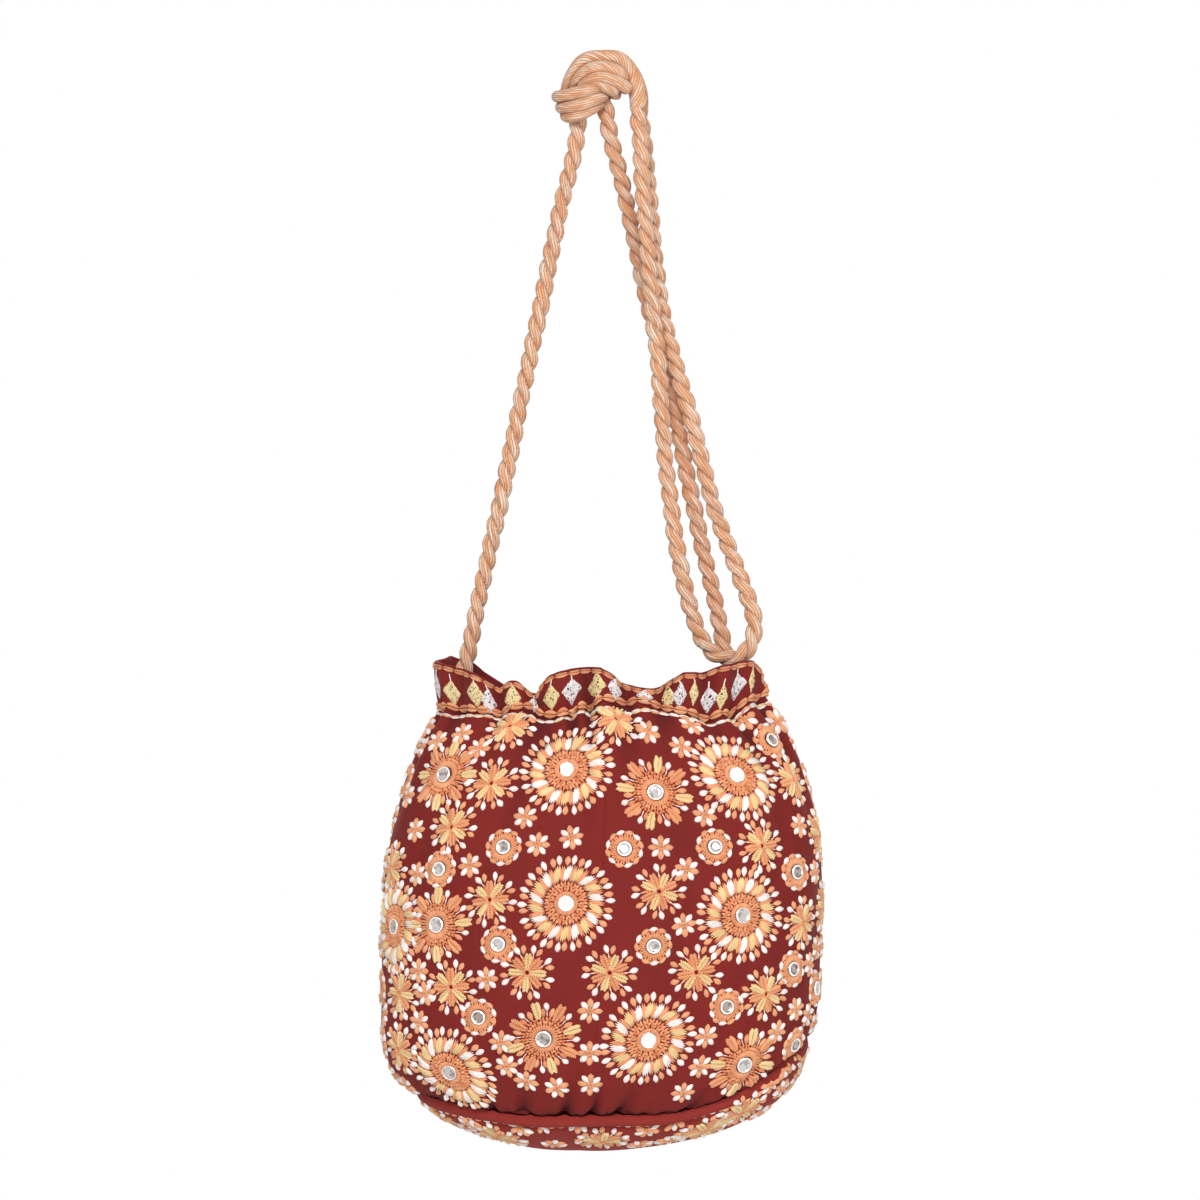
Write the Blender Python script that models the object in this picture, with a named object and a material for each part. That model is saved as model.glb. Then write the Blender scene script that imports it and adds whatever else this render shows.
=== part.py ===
"""A potli bag: a gathered cloth bag with mirror-work embroidery, hanging by its knotted rope strap.

Metres, +Z up, the front faces -Y. The origin is the underside of the knot's arch, where a hook or
a peg carries the bag.
"""

import math

import bmesh
import bpy
import numpy as np
from mathutils import Vector

# The bag, in metres. Drops are measured down from the gathered neck.
STRAP_DROP = 0.338  # the hanging point down to the neck
AXIS_X = -0.0068  # the bag's centre line, which hangs a little left of the hanging point
NECK_HALF_WIDTH = 0.0922
NECK_HALF_DEPTH = 0.0430
BELLY_DROP = 0.123
BELLY_HALF_WIDTH = 0.1220
BELLY_HALF_DEPTH = 0.0780
BOTTOM_DROP = 0.244
SEAM_DROP = 0.222  # the base seam at the front and the back
SEAM_SIDE_RISE = 0.0435  # how much higher the seam runs at the two sides
SEAM_TILT = 0.0165  # half of the difference between its two sides, the right one the higher
SEAM_SIDE_POWER = 5  # how late it rises towards them
SHOULDER_POWER = 2.5  # how late the shoulder turns in towards the neck
BOTTOM_POWER = 4.2  # how late the sides turn in towards the lowest point
SECTION_POWER = 2.25  # 2 is an ellipse, more is squarer

# The cloth, in metres
CLOTH = 0.0014  # the outer cloth with its interlining
LINING_CLOTH = 0.0010
FRILL_CLOTH = 0.0020  # the frill is turned over double
SEAM_GAP = 0.0004  # between two pieces that are sewn edge to edge
LINING_GAP = 0.0010  # between the lining and the deepest folds round it

# The gathers
NECK_GATHERS = 12
NECK_GATHER_DEPTH = 0.0040
NECK_GATHER_FADE = 0.024
SEAM_GATHERS = 16
SEAM_GATHER_DEPTH = 0.0012
SEAM_GATHER_FADE = 0.012
SEAM_TUCK = 0.0022  # how far the base seam pulls both edges in
SEAM_TUCK_REACH = 0.0050

# The frill above the neck
FRILL_HEIGHT = 0.0150
FRILL_WAVES = 9
FRILL_WAVE = 0.0060  # half of the wave's swing, at the rim
FRILL_FLARE = 0.0012
RIM_LIFT = 0.0040  # half of the rim's rise and fall
CORNER_LIFT = 0.0095  # how much higher the strap pulls the rim at its two ends

# The rope strap
ROPE = 0.0095

# The stitching stands this far out of the cloth, in metres
LIFT = 0.0006
SUNBURST_RADIUS = 0.0265
SUNBURST_PETALS = 12
FLOWER_RADIUS = 0.0215
FLOWER_PETALS = 8
RING_RADIUS = 0.0092
RING_SIDES = 8
PETAL_NOTCH = 0.0042  # the depth between two petals
THREAD_RELIEF = 0.0012
MIRROR_RADIUS = 0.0050
MIRROR_RELIEF = 0.0020
CHAIN_ROW = 0.0034  # the width of a double row of chain stitch
CHAIN_LIFT = 0.0014
CHAIN_RELIEF = 0.0010
CHAIN_EDGE = 0.0014  # from the rim or the neck to the nearest chain

# How finely the cloth is cut into facets
COLUMNS = 56
LINING_COLUMNS = 28
BODY_ROWS = (0.0, 0.03, 0.08, 0.16, 0.27, 0.40, 0.56, 0.72, 0.86, 1.0)
BASE_ROWS = (0.0, 0.10, 0.30, 0.60)
LINING_ROWS = (0.0, 0.08, 0.16, 0.27, 0.40, 0.56, 0.72, 0.86, 1.0)

NECK_Z = -STRAP_DROP
BELLY_Z = NECK_Z - BELLY_DROP
BOTTOM_Z = NECK_Z - BOTTOM_DROP
TOP_ANGLE = -90.0  # angles run down the bag: the neck, 0 at the belly, 90 at the lowest point
LOW_ANGLE = 90.0

# Where the mirror work is sewn, as (right of the centre line, below the neck), seen from the front.
# The same work is sewn on the back, straight behind it.
SUNBURSTS = (
    (-0.0190, 0.034),
    (-0.0190, 0.108),
    (0.0260, 0.184),
    (0.0750, 0.037),
    (0.0780, 0.115),
    (-0.0830, 0.183),
)
SIDE_SUNBURST = (-0.1213, 0.119)  # it wraps round the left side, so it has no copy behind it
FLOWERS = (
    (0.0305, 0.048),
    (-0.0865, 0.040),
    (-0.0900, 0.122),
    (-0.0315, 0.182),
    (0.0790, 0.182),
)
RINGS = (
    (-0.0535, 0.077),
    (0.0125, 0.079),
    (0.0630, 0.077),
    (-0.0890, 0.089),
    (-0.0570, 0.130),
    (0.0295, 0.134),
    (-0.0600, 0.154),
    (0.0630, 0.149),
    (0.0935, 0.020),
    (0.1085, 0.090),
    (0.1060, 0.140),
)

# The strap's route, chosen by hand. The left leg climbs from the mouth to the knot, the right leg
# climbs from the mouth to the knot too, and the slack hangs from the knot as a long doubled loop.
LEFT_LEG = (
    (-0.0883, 0.0, -0.3480),
    (-0.0876, 0.0, -0.3380),
    (-0.0836, 0.0, -0.3250),
    (-0.0796, 0.001, -0.3080),
    (-0.0715, 0.0, -0.2684),
    (-0.0605, 0.0, -0.2189),
    (-0.0506, 0.0, -0.1694),
    (-0.0402, 0.0, -0.1199),
    (-0.0303, 0.0, -0.0704),
    (-0.0209, 0.0, -0.0310),
    (-0.0191, 0.0, -0.0165),
)
RIGHT_LEG = (
    (0.0751, 0.0, -0.3480),
    (0.0745, 0.0, -0.3380),
    (0.0692, 0.001, -0.3270),
    (0.0622, 0.003, -0.3100),
    (0.0567, 0.004, -0.2820),
    (0.0511, 0.0052, -0.2584),
    (0.0418, 0.0070, -0.2150),
    (0.0368, 0.0085, -0.1900),
    (0.0322, 0.0100, -0.1661),
    (0.0262, 0.0115, -0.1420),
    (0.0198, 0.0118, -0.1178),
    (0.0133, 0.0100, -0.0870),
    (0.0060, 0.0045, -0.0539),
    (-0.0010, 0.0008, -0.0260),
    (-0.0042, 0.0, -0.0098),
)
LOOP = (
    (0.0134, -0.0052, -0.0068),
    (0.0141, -0.0052, -0.0160),
    (0.0150, -0.0052, -0.0264),
    (0.0160, -0.0052, -0.0484),
    (0.0176, -0.0052, -0.0677),
    (0.0191, -0.0052, -0.0869),
    (0.0208, -0.0053, -0.1080),
    (0.0228, -0.0054, -0.1282),
    (0.0253, -0.0055, -0.1540),
    (0.0268, -0.0055, -0.1771),
    (0.0286, -0.0055, -0.2008),
    (0.0314, -0.0056, -0.2244),
    (0.0347, -0.0062, -0.2481),
    (0.0392, -0.0074, -0.2712),
    (0.0456, -0.0094, -0.2940),
    (0.0500, -0.0106, -0.3030),
    (0.0558, -0.0116, -0.3090),
    (0.0632, -0.0120, -0.3116),
    (0.0706, -0.0119, -0.3096),
    (0.0756, -0.0112, -0.3036),
    (0.0775, -0.0100, -0.2955),
    (0.0764, -0.0082, -0.2860),
    (0.0704, -0.0045, -0.2684),
    (0.0619, -0.0012, -0.2464),
    (0.0543, 0.0000, -0.2244),
    (0.0488, 0.0003, -0.2024),
    (0.0432, 0.0010, -0.1804),
    (0.0369, 0.0020, -0.1584),
    (0.0308, 0.0035, -0.1364),
    (0.0262, 0.0046, -0.1144),
    (0.0232, 0.0052, -0.0924),
    (0.0210, 0.0055, -0.0704),
    (0.0192, 0.0055, -0.0484),
    (0.0171, 0.0055, -0.0264),
    (0.0155, 0.0055, -0.0150),
    (0.0146, 0.0055, -0.0068),
)
ROUTE_STEP = 2.1 * ROPE  # one point of a tube to the next

# The knot's middle line, with its radius in the picture's plane and across it
KNOT = (
    (-0.0278, -0.0128, 0.0040, 0.0045),
    (-0.0262, -0.0108, 0.0078, 0.0095),
    (-0.0222, -0.0060, 0.0118, 0.0135),
    (-0.0165, 0.0010, 0.0138, 0.0150),
    (-0.0095, 0.0070, 0.0136, 0.0150),
    (-0.0015, 0.0110, 0.0112, 0.0135),
    (0.0048, 0.0110, 0.0090, 0.0120),
    (0.0098, 0.0073, 0.0076, 0.0110),
    (0.0130, 0.0010, 0.0062, 0.0105),
    (0.0140, -0.0052, 0.0050, 0.0100),
)
KNOT_SIDES = 12

# Colours, as linear red, green and blue
MAROON = (0.255, 0.024, 0.026)
DARK_MAROON = (0.120, 0.012, 0.016)
ORANGE_THREAD = (0.800, 0.300, 0.110)
CREAM_THREAD = (0.860, 0.600, 0.270)
PEACH_ROPE = (0.800, 0.420, 0.230)


def clear_scene():
    for obj in list(bpy.data.objects):
        bpy.data.objects.remove(obj)


def material(name, colour, roughness, metallic=0.0):
    made = bpy.data.materials.new(name)
    made.use_nodes = True
    shader = made.node_tree.nodes["Principled BSDF"]
    shader.inputs["Base Color"].default_value = (*colour, 1.0)
    shader.inputs["Roughness"].default_value = roughness
    shader.inputs["Metallic"].default_value = metallic
    made.diffuse_color = (*colour, 1.0)
    return made


def add_object(name, data, finish):
    obj = bpy.data.objects.new(name, data)
    bpy.context.scene.collection.objects.link(obj)
    data.materials.append(finish)
    return obj


def solidify(obj, thickness):
    """A wall that grows inwards from the cloth's outer face."""
    wall = obj.modifiers.new("wall", "SOLIDIFY")
    wall.thickness = thickness
    wall.offset = -1.0
    wall.use_even_offset = True


def level(angle):
    """Height, half width and half depth of the bag at an angle, without its folds."""
    if angle < 0:
        share = angle / TOP_ANGLE
        bulge = 1 - share**SHOULDER_POWER
        half_width = NECK_HALF_WIDTH + (BELLY_HALF_WIDTH - NECK_HALF_WIDTH) * bulge
        half_depth = NECK_HALF_DEPTH + (BELLY_HALF_DEPTH - NECK_HALF_DEPTH) * bulge
        return BELLY_Z + BELLY_DROP * share, half_width, half_depth
    turned = math.radians(min(angle, LOW_ANGLE))
    z = BELLY_Z + (BOTTOM_Z - BELLY_Z) * math.sin(turned) ** (2 / BOTTOM_POWER)
    return z, BELLY_HALF_WIDTH * math.cos(turned), BELLY_HALF_DEPTH * math.cos(turned)


def angle_at(drop):
    """The angle of a place that lies drop metres below the neck."""
    if drop < BELLY_DROP:
        return TOP_ANGLE * (1 - drop / BELLY_DROP)
    share = min(1.0, (drop - BELLY_DROP) / (BOTTOM_DROP - BELLY_DROP))
    return math.degrees(math.asin(share ** (BOTTOM_POWER / 2)))


def seam_angle(share):
    """The angle of the base seam, a share of the way round from the front."""
    side = math.sin(2 * math.pi * share)
    rise = SEAM_SIDE_RISE + math.copysign(SEAM_TILT, side)
    return angle_at(SEAM_DROP - rise * abs(side) ** SEAM_SIDE_POWER)


def oval(half_width, half_depth):
    """A closely sampled rounded oval, with the distance run along it from the front centre."""
    turned = np.linspace(0, 2 * math.pi, 721)
    power = 2 / SECTION_POWER
    sine, cosine = np.sin(turned), np.cos(turned)
    x = half_width * np.sign(sine) * np.abs(sine) ** power
    y = -half_depth * np.sign(cosine) * np.abs(cosine) ** power
    run = np.concatenate([[0.0], np.cumsum(np.hypot(np.diff(x), np.diff(y)))])
    return x, y, run


def plain_point(share, angle):
    """A point of the bag's outer face without folds, as an array."""
    z, half_width, half_depth = level(angle)
    x, y, run = oval(half_width, half_depth)
    at = (share % 1.0) * run[-1]
    return np.array([AXIS_X + np.interp(at, run, x), np.interp(at, run, y), z])


def outward(share, angle):
    """The outward direction of the plain outer face."""
    around = plain_point(share + 0.002, angle) - plain_point(share - 0.002, angle)
    down = plain_point(share, min(angle + 1, LOW_ANGLE - 0.5)) - plain_point(share, angle - 1)
    direction = np.cross(down, around)
    return direction / np.linalg.norm(direction)


def fold_depth(share, angle):
    """How far the gathers and the seam pull the cloth in at a place."""
    turn = 2 * math.pi * share
    wander = 1.9 * math.sin(3 * turn + 1.0) + 1.4 * math.sin(5 * turn)
    neck = 0.5 + 0.5 * math.cos(NECK_GATHERS * turn + wander)
    seam = 0.5 + 0.5 * math.cos(SEAM_GATHERS * turn)
    below_neck = NECK_Z - level(angle)[0]
    off_seam = BELLY_HALF_WIDTH * abs(math.radians(angle - seam_angle(share)))
    return (
        NECK_GATHER_DEPTH * neck * math.exp(-below_neck / NECK_GATHER_FADE)
        + SEAM_GATHER_DEPTH * seam * math.exp(-off_seam / SEAM_GATHER_FADE)
        + SEAM_TUCK * math.exp(-((off_seam / SEAM_TUCK_REACH) ** 2))
    )


def deepest_fold(share, angle):
    """The most that the gathers and the seam pull in near a place, between folds too."""
    below_neck = NECK_Z - level(angle)[0]
    off_seam = BELLY_HALF_WIDTH * abs(math.radians(angle - seam_angle(share)))
    return (
        NECK_GATHER_DEPTH * math.exp(-below_neck / NECK_GATHER_FADE)
        + SEAM_GATHER_DEPTH * math.exp(-off_seam / SEAM_GATHER_FADE)
        + SEAM_TUCK * math.exp(-((off_seam / (2 * SEAM_TUCK_REACH)) ** 2))
    )


def cloth_point(share, angle, out=0.0):
    """A point of the bag's outer face, or out metres off it."""
    return plain_point(share, angle) + (out - fold_depth(share, angle)) * outward(share, angle)


def shares(columns):
    return [i / columns for i in range(columns)]


def loft(name, rings, finish, tip=None):
    """A sheet through rings of as many points each. A tip closes the last ring as a bowl."""
    mesh = bpy.data.meshes.new(name)
    bm = bmesh.new()
    loops = [[bm.verts.new(p) for p in ring] for ring in rings]
    for first, second in zip(loops, loops[1:]):
        for i in range(len(first)):
            j = (i + 1) % len(first)
            bm.faces.new((first[i], first[j], second[j], second[i]))
    if tip is not None:
        end, last = bm.verts.new(tip), loops[-1]
        for i in range(len(last)):
            bm.faces.new((last[i], last[(i + 1) % len(last)], end))
    bm.normal_update()
    middle = np.mean([np.mean(ring, axis=0) for ring in rings], axis=0)
    outwards = [f.normal.dot(f.calc_center_median() - Vector(middle)) for f in bm.faces]
    if sum(outwards) < 0:
        bmesh.ops.reverse_faces(bm, faces=bm.faces)
    bm.to_mesh(mesh)
    bm.free()
    mesh.shade_smooth()
    return add_object(name, mesh, finish)


def outer_body(finish):
    """The embroidered tube of cloth, from the base seam up to the gathered neck."""
    rings = []
    for row in BODY_ROWS:
        ring = []
        for share in shares(COLUMNS):
            low = seam_angle(share)
            ring.append(cloth_point(share, low + row * (TOP_ANGLE - low)))
        rings.append(ring)
    solidify(loft("outer_body", rings, finish), CLOTH)


def base_panel(finish):
    """The oval base, which sags below its seam like a shallow bowl."""
    rings = []
    for row in BASE_ROWS:
        ring = []
        for share in shares(COLUMNS):
            gap = math.degrees(SEAM_GAP / BELLY_HALF_DEPTH)
            high = seam_angle(share) + gap
            ring.append(cloth_point(share, high + row * (LOW_ANGLE - high)))
        rings.append(ring)
    solidify(loft("base_panel", rings, finish, tip=(AXIS_X, 0.0, BOTTOM_Z)), CLOTH)


def lining(finish):
    """The plain inner bag, sewn in at the neck and lying on the base panel."""
    def inner(share, angle):
        inset = CLOTH + LINING_GAP + deepest_fold(share, angle)
        return plain_point(share, angle) - inset * outward(share, angle)

    rings = []
    for row in LINING_ROWS[::-1]:
        ring = []
        for share in shares(LINING_COLUMNS):
            low = seam_angle(share)
            ring.append(inner(share, low + row * (TOP_ANGLE - low)))
        rings.append(ring)
    for row in BASE_ROWS[1:]:
        ring = []
        for share in shares(LINING_COLUMNS):
            high = seam_angle(share)
            ring.append(inner(share, high + row * (LOW_ANGLE - high)))
        rings.append(ring)
    floor = BOTTOM_Z + CLOTH + LINING_GAP
    solidify(loft("lining", rings, finish, tip=(AXIS_X, 0.0, floor)), LINING_CLOTH)


def frill_point(share, up, out=0.0):
    """A point of the frill's outer face, up from 0 at the neck to 1 at the rim."""
    turn = 2 * math.pi * share
    side = plain_point(share, TOP_ANGLE)
    around = plain_point(share + 0.002, TOP_ANGLE) - plain_point(share - 0.002, TOP_ANGLE)
    direction = np.array([around[1], -around[0], 0.0]) / np.linalg.norm(around)
    wave = math.cos(FRILL_WAVES * turn)
    corner = abs(math.sin(turn)) ** 8
    swing = up**0.8
    out += swing * (FRILL_FLARE + FRILL_WAVE * wave) - fold_depth(share, TOP_ANGLE) * (1 - up)
    rise = SEAM_GAP + FRILL_HEIGHT * up + swing * (CORNER_LIFT * corner - RIM_LIFT * wave * (1 - corner))
    return side + out * direction + np.array([0.0, 0.0, rise])


def frill(finish):
    """The standing frill round the mouth, waved by the gathers, with a fold above and below its middle."""
    heights = (0.0, CHAIN_EDGE + CHAIN_ROW, FRILL_HEIGHT - CHAIN_EDGE - CHAIN_ROW, FRILL_HEIGHT)
    rings = [[frill_point(s, height / FRILL_HEIGHT) for s in shares(COLUMNS)] for height in heights]
    solidify(loft("frill", rings, finish), FRILL_CLOTH)


def chain_band(name, low, finish):
    """A double row of chain stitch round the frill, low metres above the neck in its middle."""
    high, top = low + CHAIN_ROW, CHAIN_LIFT + CHAIN_RELIEF
    rings = []
    for height, out in ((low, CHAIN_LIFT), (low, top), (high, top), (high, CHAIN_LIFT)):
        rings.append([frill_point(s, height / FRILL_HEIGHT, out) for s in shares(COLUMNS)])
    mesh = bpy.data.meshes.new(name)
    bm = bmesh.new()
    loops = [[bm.verts.new(p) for p in ring] for ring in rings]
    for first, second in zip(loops, loops[1:] + loops[:1]):
        for i in range(COLUMNS):
            j = (i + 1) % COLUMNS
            bm.faces.new((first[i], first[j], second[j], second[i]))
    bmesh.ops.recalc_face_normals(bm, faces=bm.faces)
    bm.to_mesh(mesh)
    bm.free()
    add_object(name, mesh, finish)


def smooth_route(points, step):
    """Points about step apart on a smooth curve through a route's own points."""
    p = np.array(points)
    p = np.vstack([2 * p[0] - p[1], p, 2 * p[-1] - p[-2]])
    fine = []
    for a, b, c, d in zip(p, p[1:], p[2:], p[3:]):
        for t in np.linspace(0, 1, 24, endpoint=False):
            even = 2 * b + (c - a) * t
            bend = (2 * a - 5 * b + 4 * c - d) * t**2 + (3 * b - a - 3 * c + d) * t**3
            fine.append(0.5 * (even + bend))
    fine = np.array([*fine, p[-2]])
    run = np.concatenate([[0.0], np.cumsum(np.linalg.norm(np.diff(fine, axis=0), axis=1))])
    at = np.linspace(0, run[-1], max(4, round(run[-1] / step)) + 1)
    return np.stack([np.interp(at, run, fine[:, k]) for k in range(3)], axis=1)


def rope_tube(name, route, finish):
    """A plain tube of the rope's thickness along a route."""
    points = smooth_route(route, ROUTE_STEP)
    curve = bpy.data.curves.new(name, "CURVE")
    curve.dimensions = "3D"
    curve.bevel_depth = ROPE / 2
    curve.bevel_resolution = 2
    curve.use_fill_caps = True
    spline = curve.splines.new("POLY")
    spline.points.add(len(points) - 1)
    for place, point in zip(spline.points, points):
        place.co = (*point, 1.0)
    add_object(name, curve, finish)


def strap_knot(finish):
    """The knot's outer shape: a thick arch of turns, fattest at its left end."""
    line = np.array([(x, 0.0, z) for x, z, _, _ in KNOT])
    mesh = bpy.data.meshes.new("strap_knot")
    bm = bmesh.new()
    loops = []
    for i, (_, _, radius, across) in enumerate(KNOT):
        along = line[min(i + 1, len(line) - 1)] - line[max(i - 1, 0)]
        side = np.array([-along[2], 0.0, along[0]]) / np.linalg.norm(along)
        loop = []
        for k in range(KNOT_SIDES):
            turn = 2 * math.pi * k / KNOT_SIDES
            point = line[i] + radius * math.cos(turn) * side
            loop.append(bm.verts.new(point + np.array([0.0, across * math.sin(turn), 0.0])))
        loops.append(loop)
    for first, second in zip(loops, loops[1:]):
        for k in range(KNOT_SIDES):
            j = (k + 1) % KNOT_SIDES
            bm.faces.new((first[k], first[j], second[j], second[k]))
    bm.faces.new(loops[0])
    bm.faces.new(loops[-1])
    bmesh.ops.recalc_face_normals(bm, faces=bm.faces)
    bm.to_mesh(mesh)
    bm.free()
    add_object("strap_knot", mesh, finish)


def share_of(x, angle):
    """How far round the oval the front cloth is x metres right of the centre line."""
    px, _, run = oval(*level(angle)[1:])
    quarter = len(px) // 4
    reach = min(abs(x), 0.995 * px[quarter])
    return math.copysign(np.interp(reach, px[: quarter + 1], run[: quarter + 1]) / run[-1], x)


def motif_points(place, on_back):
    """A function that gives a point of a motif, across and up from its centre and out of the cloth."""
    x, drop = place
    centre = angle_at(drop)
    share = share_of(x, centre)
    if on_back:
        share = 0.5 - share
    angles = np.linspace(TOP_ANGLE, LOW_ANGLE - 5, 90)
    line = np.array([plain_point(share, a) for a in angles])
    run = np.concatenate([[0.0], np.cumsum(np.linalg.norm(np.diff(line, axis=0), axis=1))])
    here = np.interp(centre, angles, run)

    def point(across, up, out):
        angle = float(np.interp(here - up, run, angles))
        length = oval(*level(angle)[1:])[2][-1]
        return cloth_point(share + across / length, angle, out)

    return point


def relief(name, place, on_back, rings, finish):
    """A raised piece of thread work. rings holds the radii of each ring's points, and its height."""
    point = motif_points(place, on_back)
    bm = bmesh.new()

    def layer(middle, outlines):
        previous = [bm.verts.new(point(0.0, 0.0, LIFT + middle))]
        for radii, height in outlines:
            loop = []
            for i, radius in enumerate(radii):
                way = 2 * math.pi * i / len(radii)
                loop.append(bm.verts.new(point(radius * math.sin(way), radius * math.cos(way), LIFT + height)))
            for face in between(previous, loop):
                bm.faces.new(face)
            previous = loop
        return previous

    top = layer(rings[0][1], rings)
    low = layer(0.0, [(radii, 0.0) for radii, _ in rings[1:]])
    for i in range(len(top)):
        j = (i + 1) % len(top)
        bm.faces.new((top[j], top[i], low[i], low[j]))
    bmesh.ops.recalc_face_normals(bm, faces=bm.faces)
    mesh = bpy.data.meshes.new(name)
    bm.to_mesh(mesh)
    bm.free()
    add_object(name, mesh, finish)


def between(inner, outer):
    """Faces from a point or a ring to a ring of as many points, or of twice as many."""
    count = len(outer)
    if len(inner) == 1:
        return [(inner[0], outer[i], outer[(i + 1) % count]) for i in range(count)]
    if len(inner) == count:
        return [(inner[i], outer[i], outer[(i + 1) % count], inner[(i + 1) % count]) for i in range(count)]
    faces = []
    for i in range(len(inner)):
        a, b = inner[i], inner[(i + 1) % len(inner)]
        c, d, e = outer[2 * i], outer[2 * i + 1], outer[(2 * i + 2) % count]
        faces += [(a, c, d), (a, d, b), (b, d, e)]
    return faces


def petals(radius, count):
    """The outline of a flower: a tip and a notch for each petal."""
    return [radius, radius - PETAL_NOTCH] * count


def mirror_work(thread, ring_thread):
    """Every large mirror on the cloth, each in the thread work that holds it, front and back."""
    middle = (MIRROR_RADIUS + SUNBURST_RADIUS) / 2
    sunburst = (
        ([MIRROR_RADIUS] * SUNBURST_PETALS, MIRROR_RELIEF),
        ([middle] * SUNBURST_PETALS, THREAD_RELIEF),
        (petals(SUNBURST_RADIUS, SUNBURST_PETALS), THREAD_RELIEF),
    )
    middle = (MIRROR_RADIUS + FLOWER_RADIUS) / 2
    flower = (
        ([MIRROR_RADIUS] * FLOWER_PETALS, MIRROR_RELIEF),
        ([middle] * FLOWER_PETALS, THREAD_RELIEF),
        (petals(FLOWER_RADIUS, FLOWER_PETALS), THREAD_RELIEF),
    )
    ring = (
        ([MIRROR_RADIUS] * RING_SIDES, MIRROR_RELIEF),
        ([RING_RADIUS] * RING_SIDES, THREAD_RELIEF),
    )
    kinds = (
        ("sunburst", SUNBURSTS, sunburst, thread),
        ("mirror_flower", FLOWERS, flower, thread),
        ("mirror_ring", RINGS, ring, ring_thread),
    )
    for name, places, shape, finish in kinds:
        for on_back in (False, True):
            for i, place in enumerate(places):
                number = i + 1 + on_back * len(places)
                relief(f"{name}_{number:02d}", place, on_back, shape, finish)
    relief("side_sunburst", SIDE_SUNBURST, False, sunburst, thread)


def main():
    clear_scene()
    outer_body(material("maroon cloth", MAROON, 0.75))
    base_panel(material("maroon base cloth", MAROON, 0.75))
    frill(material("maroon frill cloth", MAROON, 0.75))
    lining(material("dark lining cloth", DARK_MAROON, 0.80))
    rope = material("peach rope", PEACH_ROPE, 0.55)
    rope_tube("strap_left_leg", LEFT_LEG, rope)
    rope_tube("strap_right_leg", RIGHT_LEG, rope)
    rope_tube("strap_loop", LOOP, rope)
    strap_knot(rope)
    orange = material("orange thread", ORANGE_THREAD, 0.55)
    chain_band("neck_chain_stitch", CHAIN_EDGE, orange)
    chain_band("rim_chain_stitch", FRILL_HEIGHT - CHAIN_EDGE - CHAIN_ROW, orange)
    mirror_work(material("cream thread", CREAM_THREAD, 0.55), orange)


main()
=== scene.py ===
"""The looks of a potli bag: gathered cloth, mirror-work stitches and a knotted two-ply rope strap."""

import math

import bpy
import numpy as np
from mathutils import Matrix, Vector


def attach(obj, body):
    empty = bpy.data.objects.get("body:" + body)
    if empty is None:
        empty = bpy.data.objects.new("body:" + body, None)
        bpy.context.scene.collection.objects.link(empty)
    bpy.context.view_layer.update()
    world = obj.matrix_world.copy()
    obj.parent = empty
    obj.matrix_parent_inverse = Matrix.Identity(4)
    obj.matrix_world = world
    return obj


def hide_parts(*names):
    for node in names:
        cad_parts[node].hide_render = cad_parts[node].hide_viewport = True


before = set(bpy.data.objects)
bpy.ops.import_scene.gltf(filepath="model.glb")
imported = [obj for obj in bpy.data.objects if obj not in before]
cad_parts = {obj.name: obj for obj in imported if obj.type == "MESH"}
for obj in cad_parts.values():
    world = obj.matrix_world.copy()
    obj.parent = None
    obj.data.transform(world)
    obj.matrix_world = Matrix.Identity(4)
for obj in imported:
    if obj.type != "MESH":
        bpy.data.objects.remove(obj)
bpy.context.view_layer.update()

rng = np.random.default_rng(7)
TURN = 2 * math.pi

# The photograph, and the camera that matches it
PIXEL = 0.00055  # metres at the hanging point's depth
HANG_PX = (613.0, 92.0)  # the frame's origin in the photograph
PHOTO_CENTRE_PX = (600.0, 600.0)
PHOTO_SIZE_PX = 1200
CAMERA_DISTANCE = 3.0
SENSOR_MM = 36.0

# The bag, in metres. Its outline is the CAD's, and its base seam lies lower at the two sides. Drops
# are measured down from the gathered neck.
STRAP_DROP = 0.338
AXIS_X = -0.0068
NECK_HALF_WIDTH = 0.0922
NECK_HALF_DEPTH = 0.0430
BELLY_DROP = 0.123
BELLY_HALF_WIDTH = 0.1220
BELLY_HALF_DEPTH = 0.0780
BOTTOM_DROP = 0.244
SEAM_DROP = 0.222
SEAM_SIDE_RISE = 0.0245
SEAM_TILT = 0.0155
SEAM_SIDE_POWER = 5
SHOULDER_POWER = 2.5
BOTTOM_POWER = 4.2
SECTION_POWER = 2.25
NECK_Z = -STRAP_DROP
COLUMNS = 1024  # round the bag's surface and the frill's
SHARES = np.arange(COLUMNS) / COLUMNS

# The cloth
NECK_PLEAT_DEPTH = 0.0056
NECK_PLEAT_FADE = 0.026
SEAM_PUCKERS = 64
SEAM_PUCKER_DEPTH = 0.0011
SEAM_PUCKER_FADE = 0.011
SEAM_TUCK = 0.0026
SEAM_TUCK_REACH = 0.0032
GATHER_DEPTH = 0.0050
GATHER_FADE = 0.030
HANG_FOLD_DEPTH = 0.0014
BASE_STRIP = 0.0095  # the plain band under the seam
BASE_SWELL = 0.0013
BASE_FOLD_DEPTH = 0.0024
BELLY_PULL = 0.0010
NECK_DRAW = 0.0018
LINING_INSET = 0.0034
FRILL_CLOTH = 0.0020
BODY_GRID = (440, 170)  # points round and down
BASE_GRID = (320, 70)
BASE_LAP = 0.0004  # between the tube's lower edge and the base's upper one
LINING_COLUMNS = 160
FRILL_COLUMNS = 640

# What the body's cloth was cut to
BODY_CUT = (0.66, 0.245)

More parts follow.
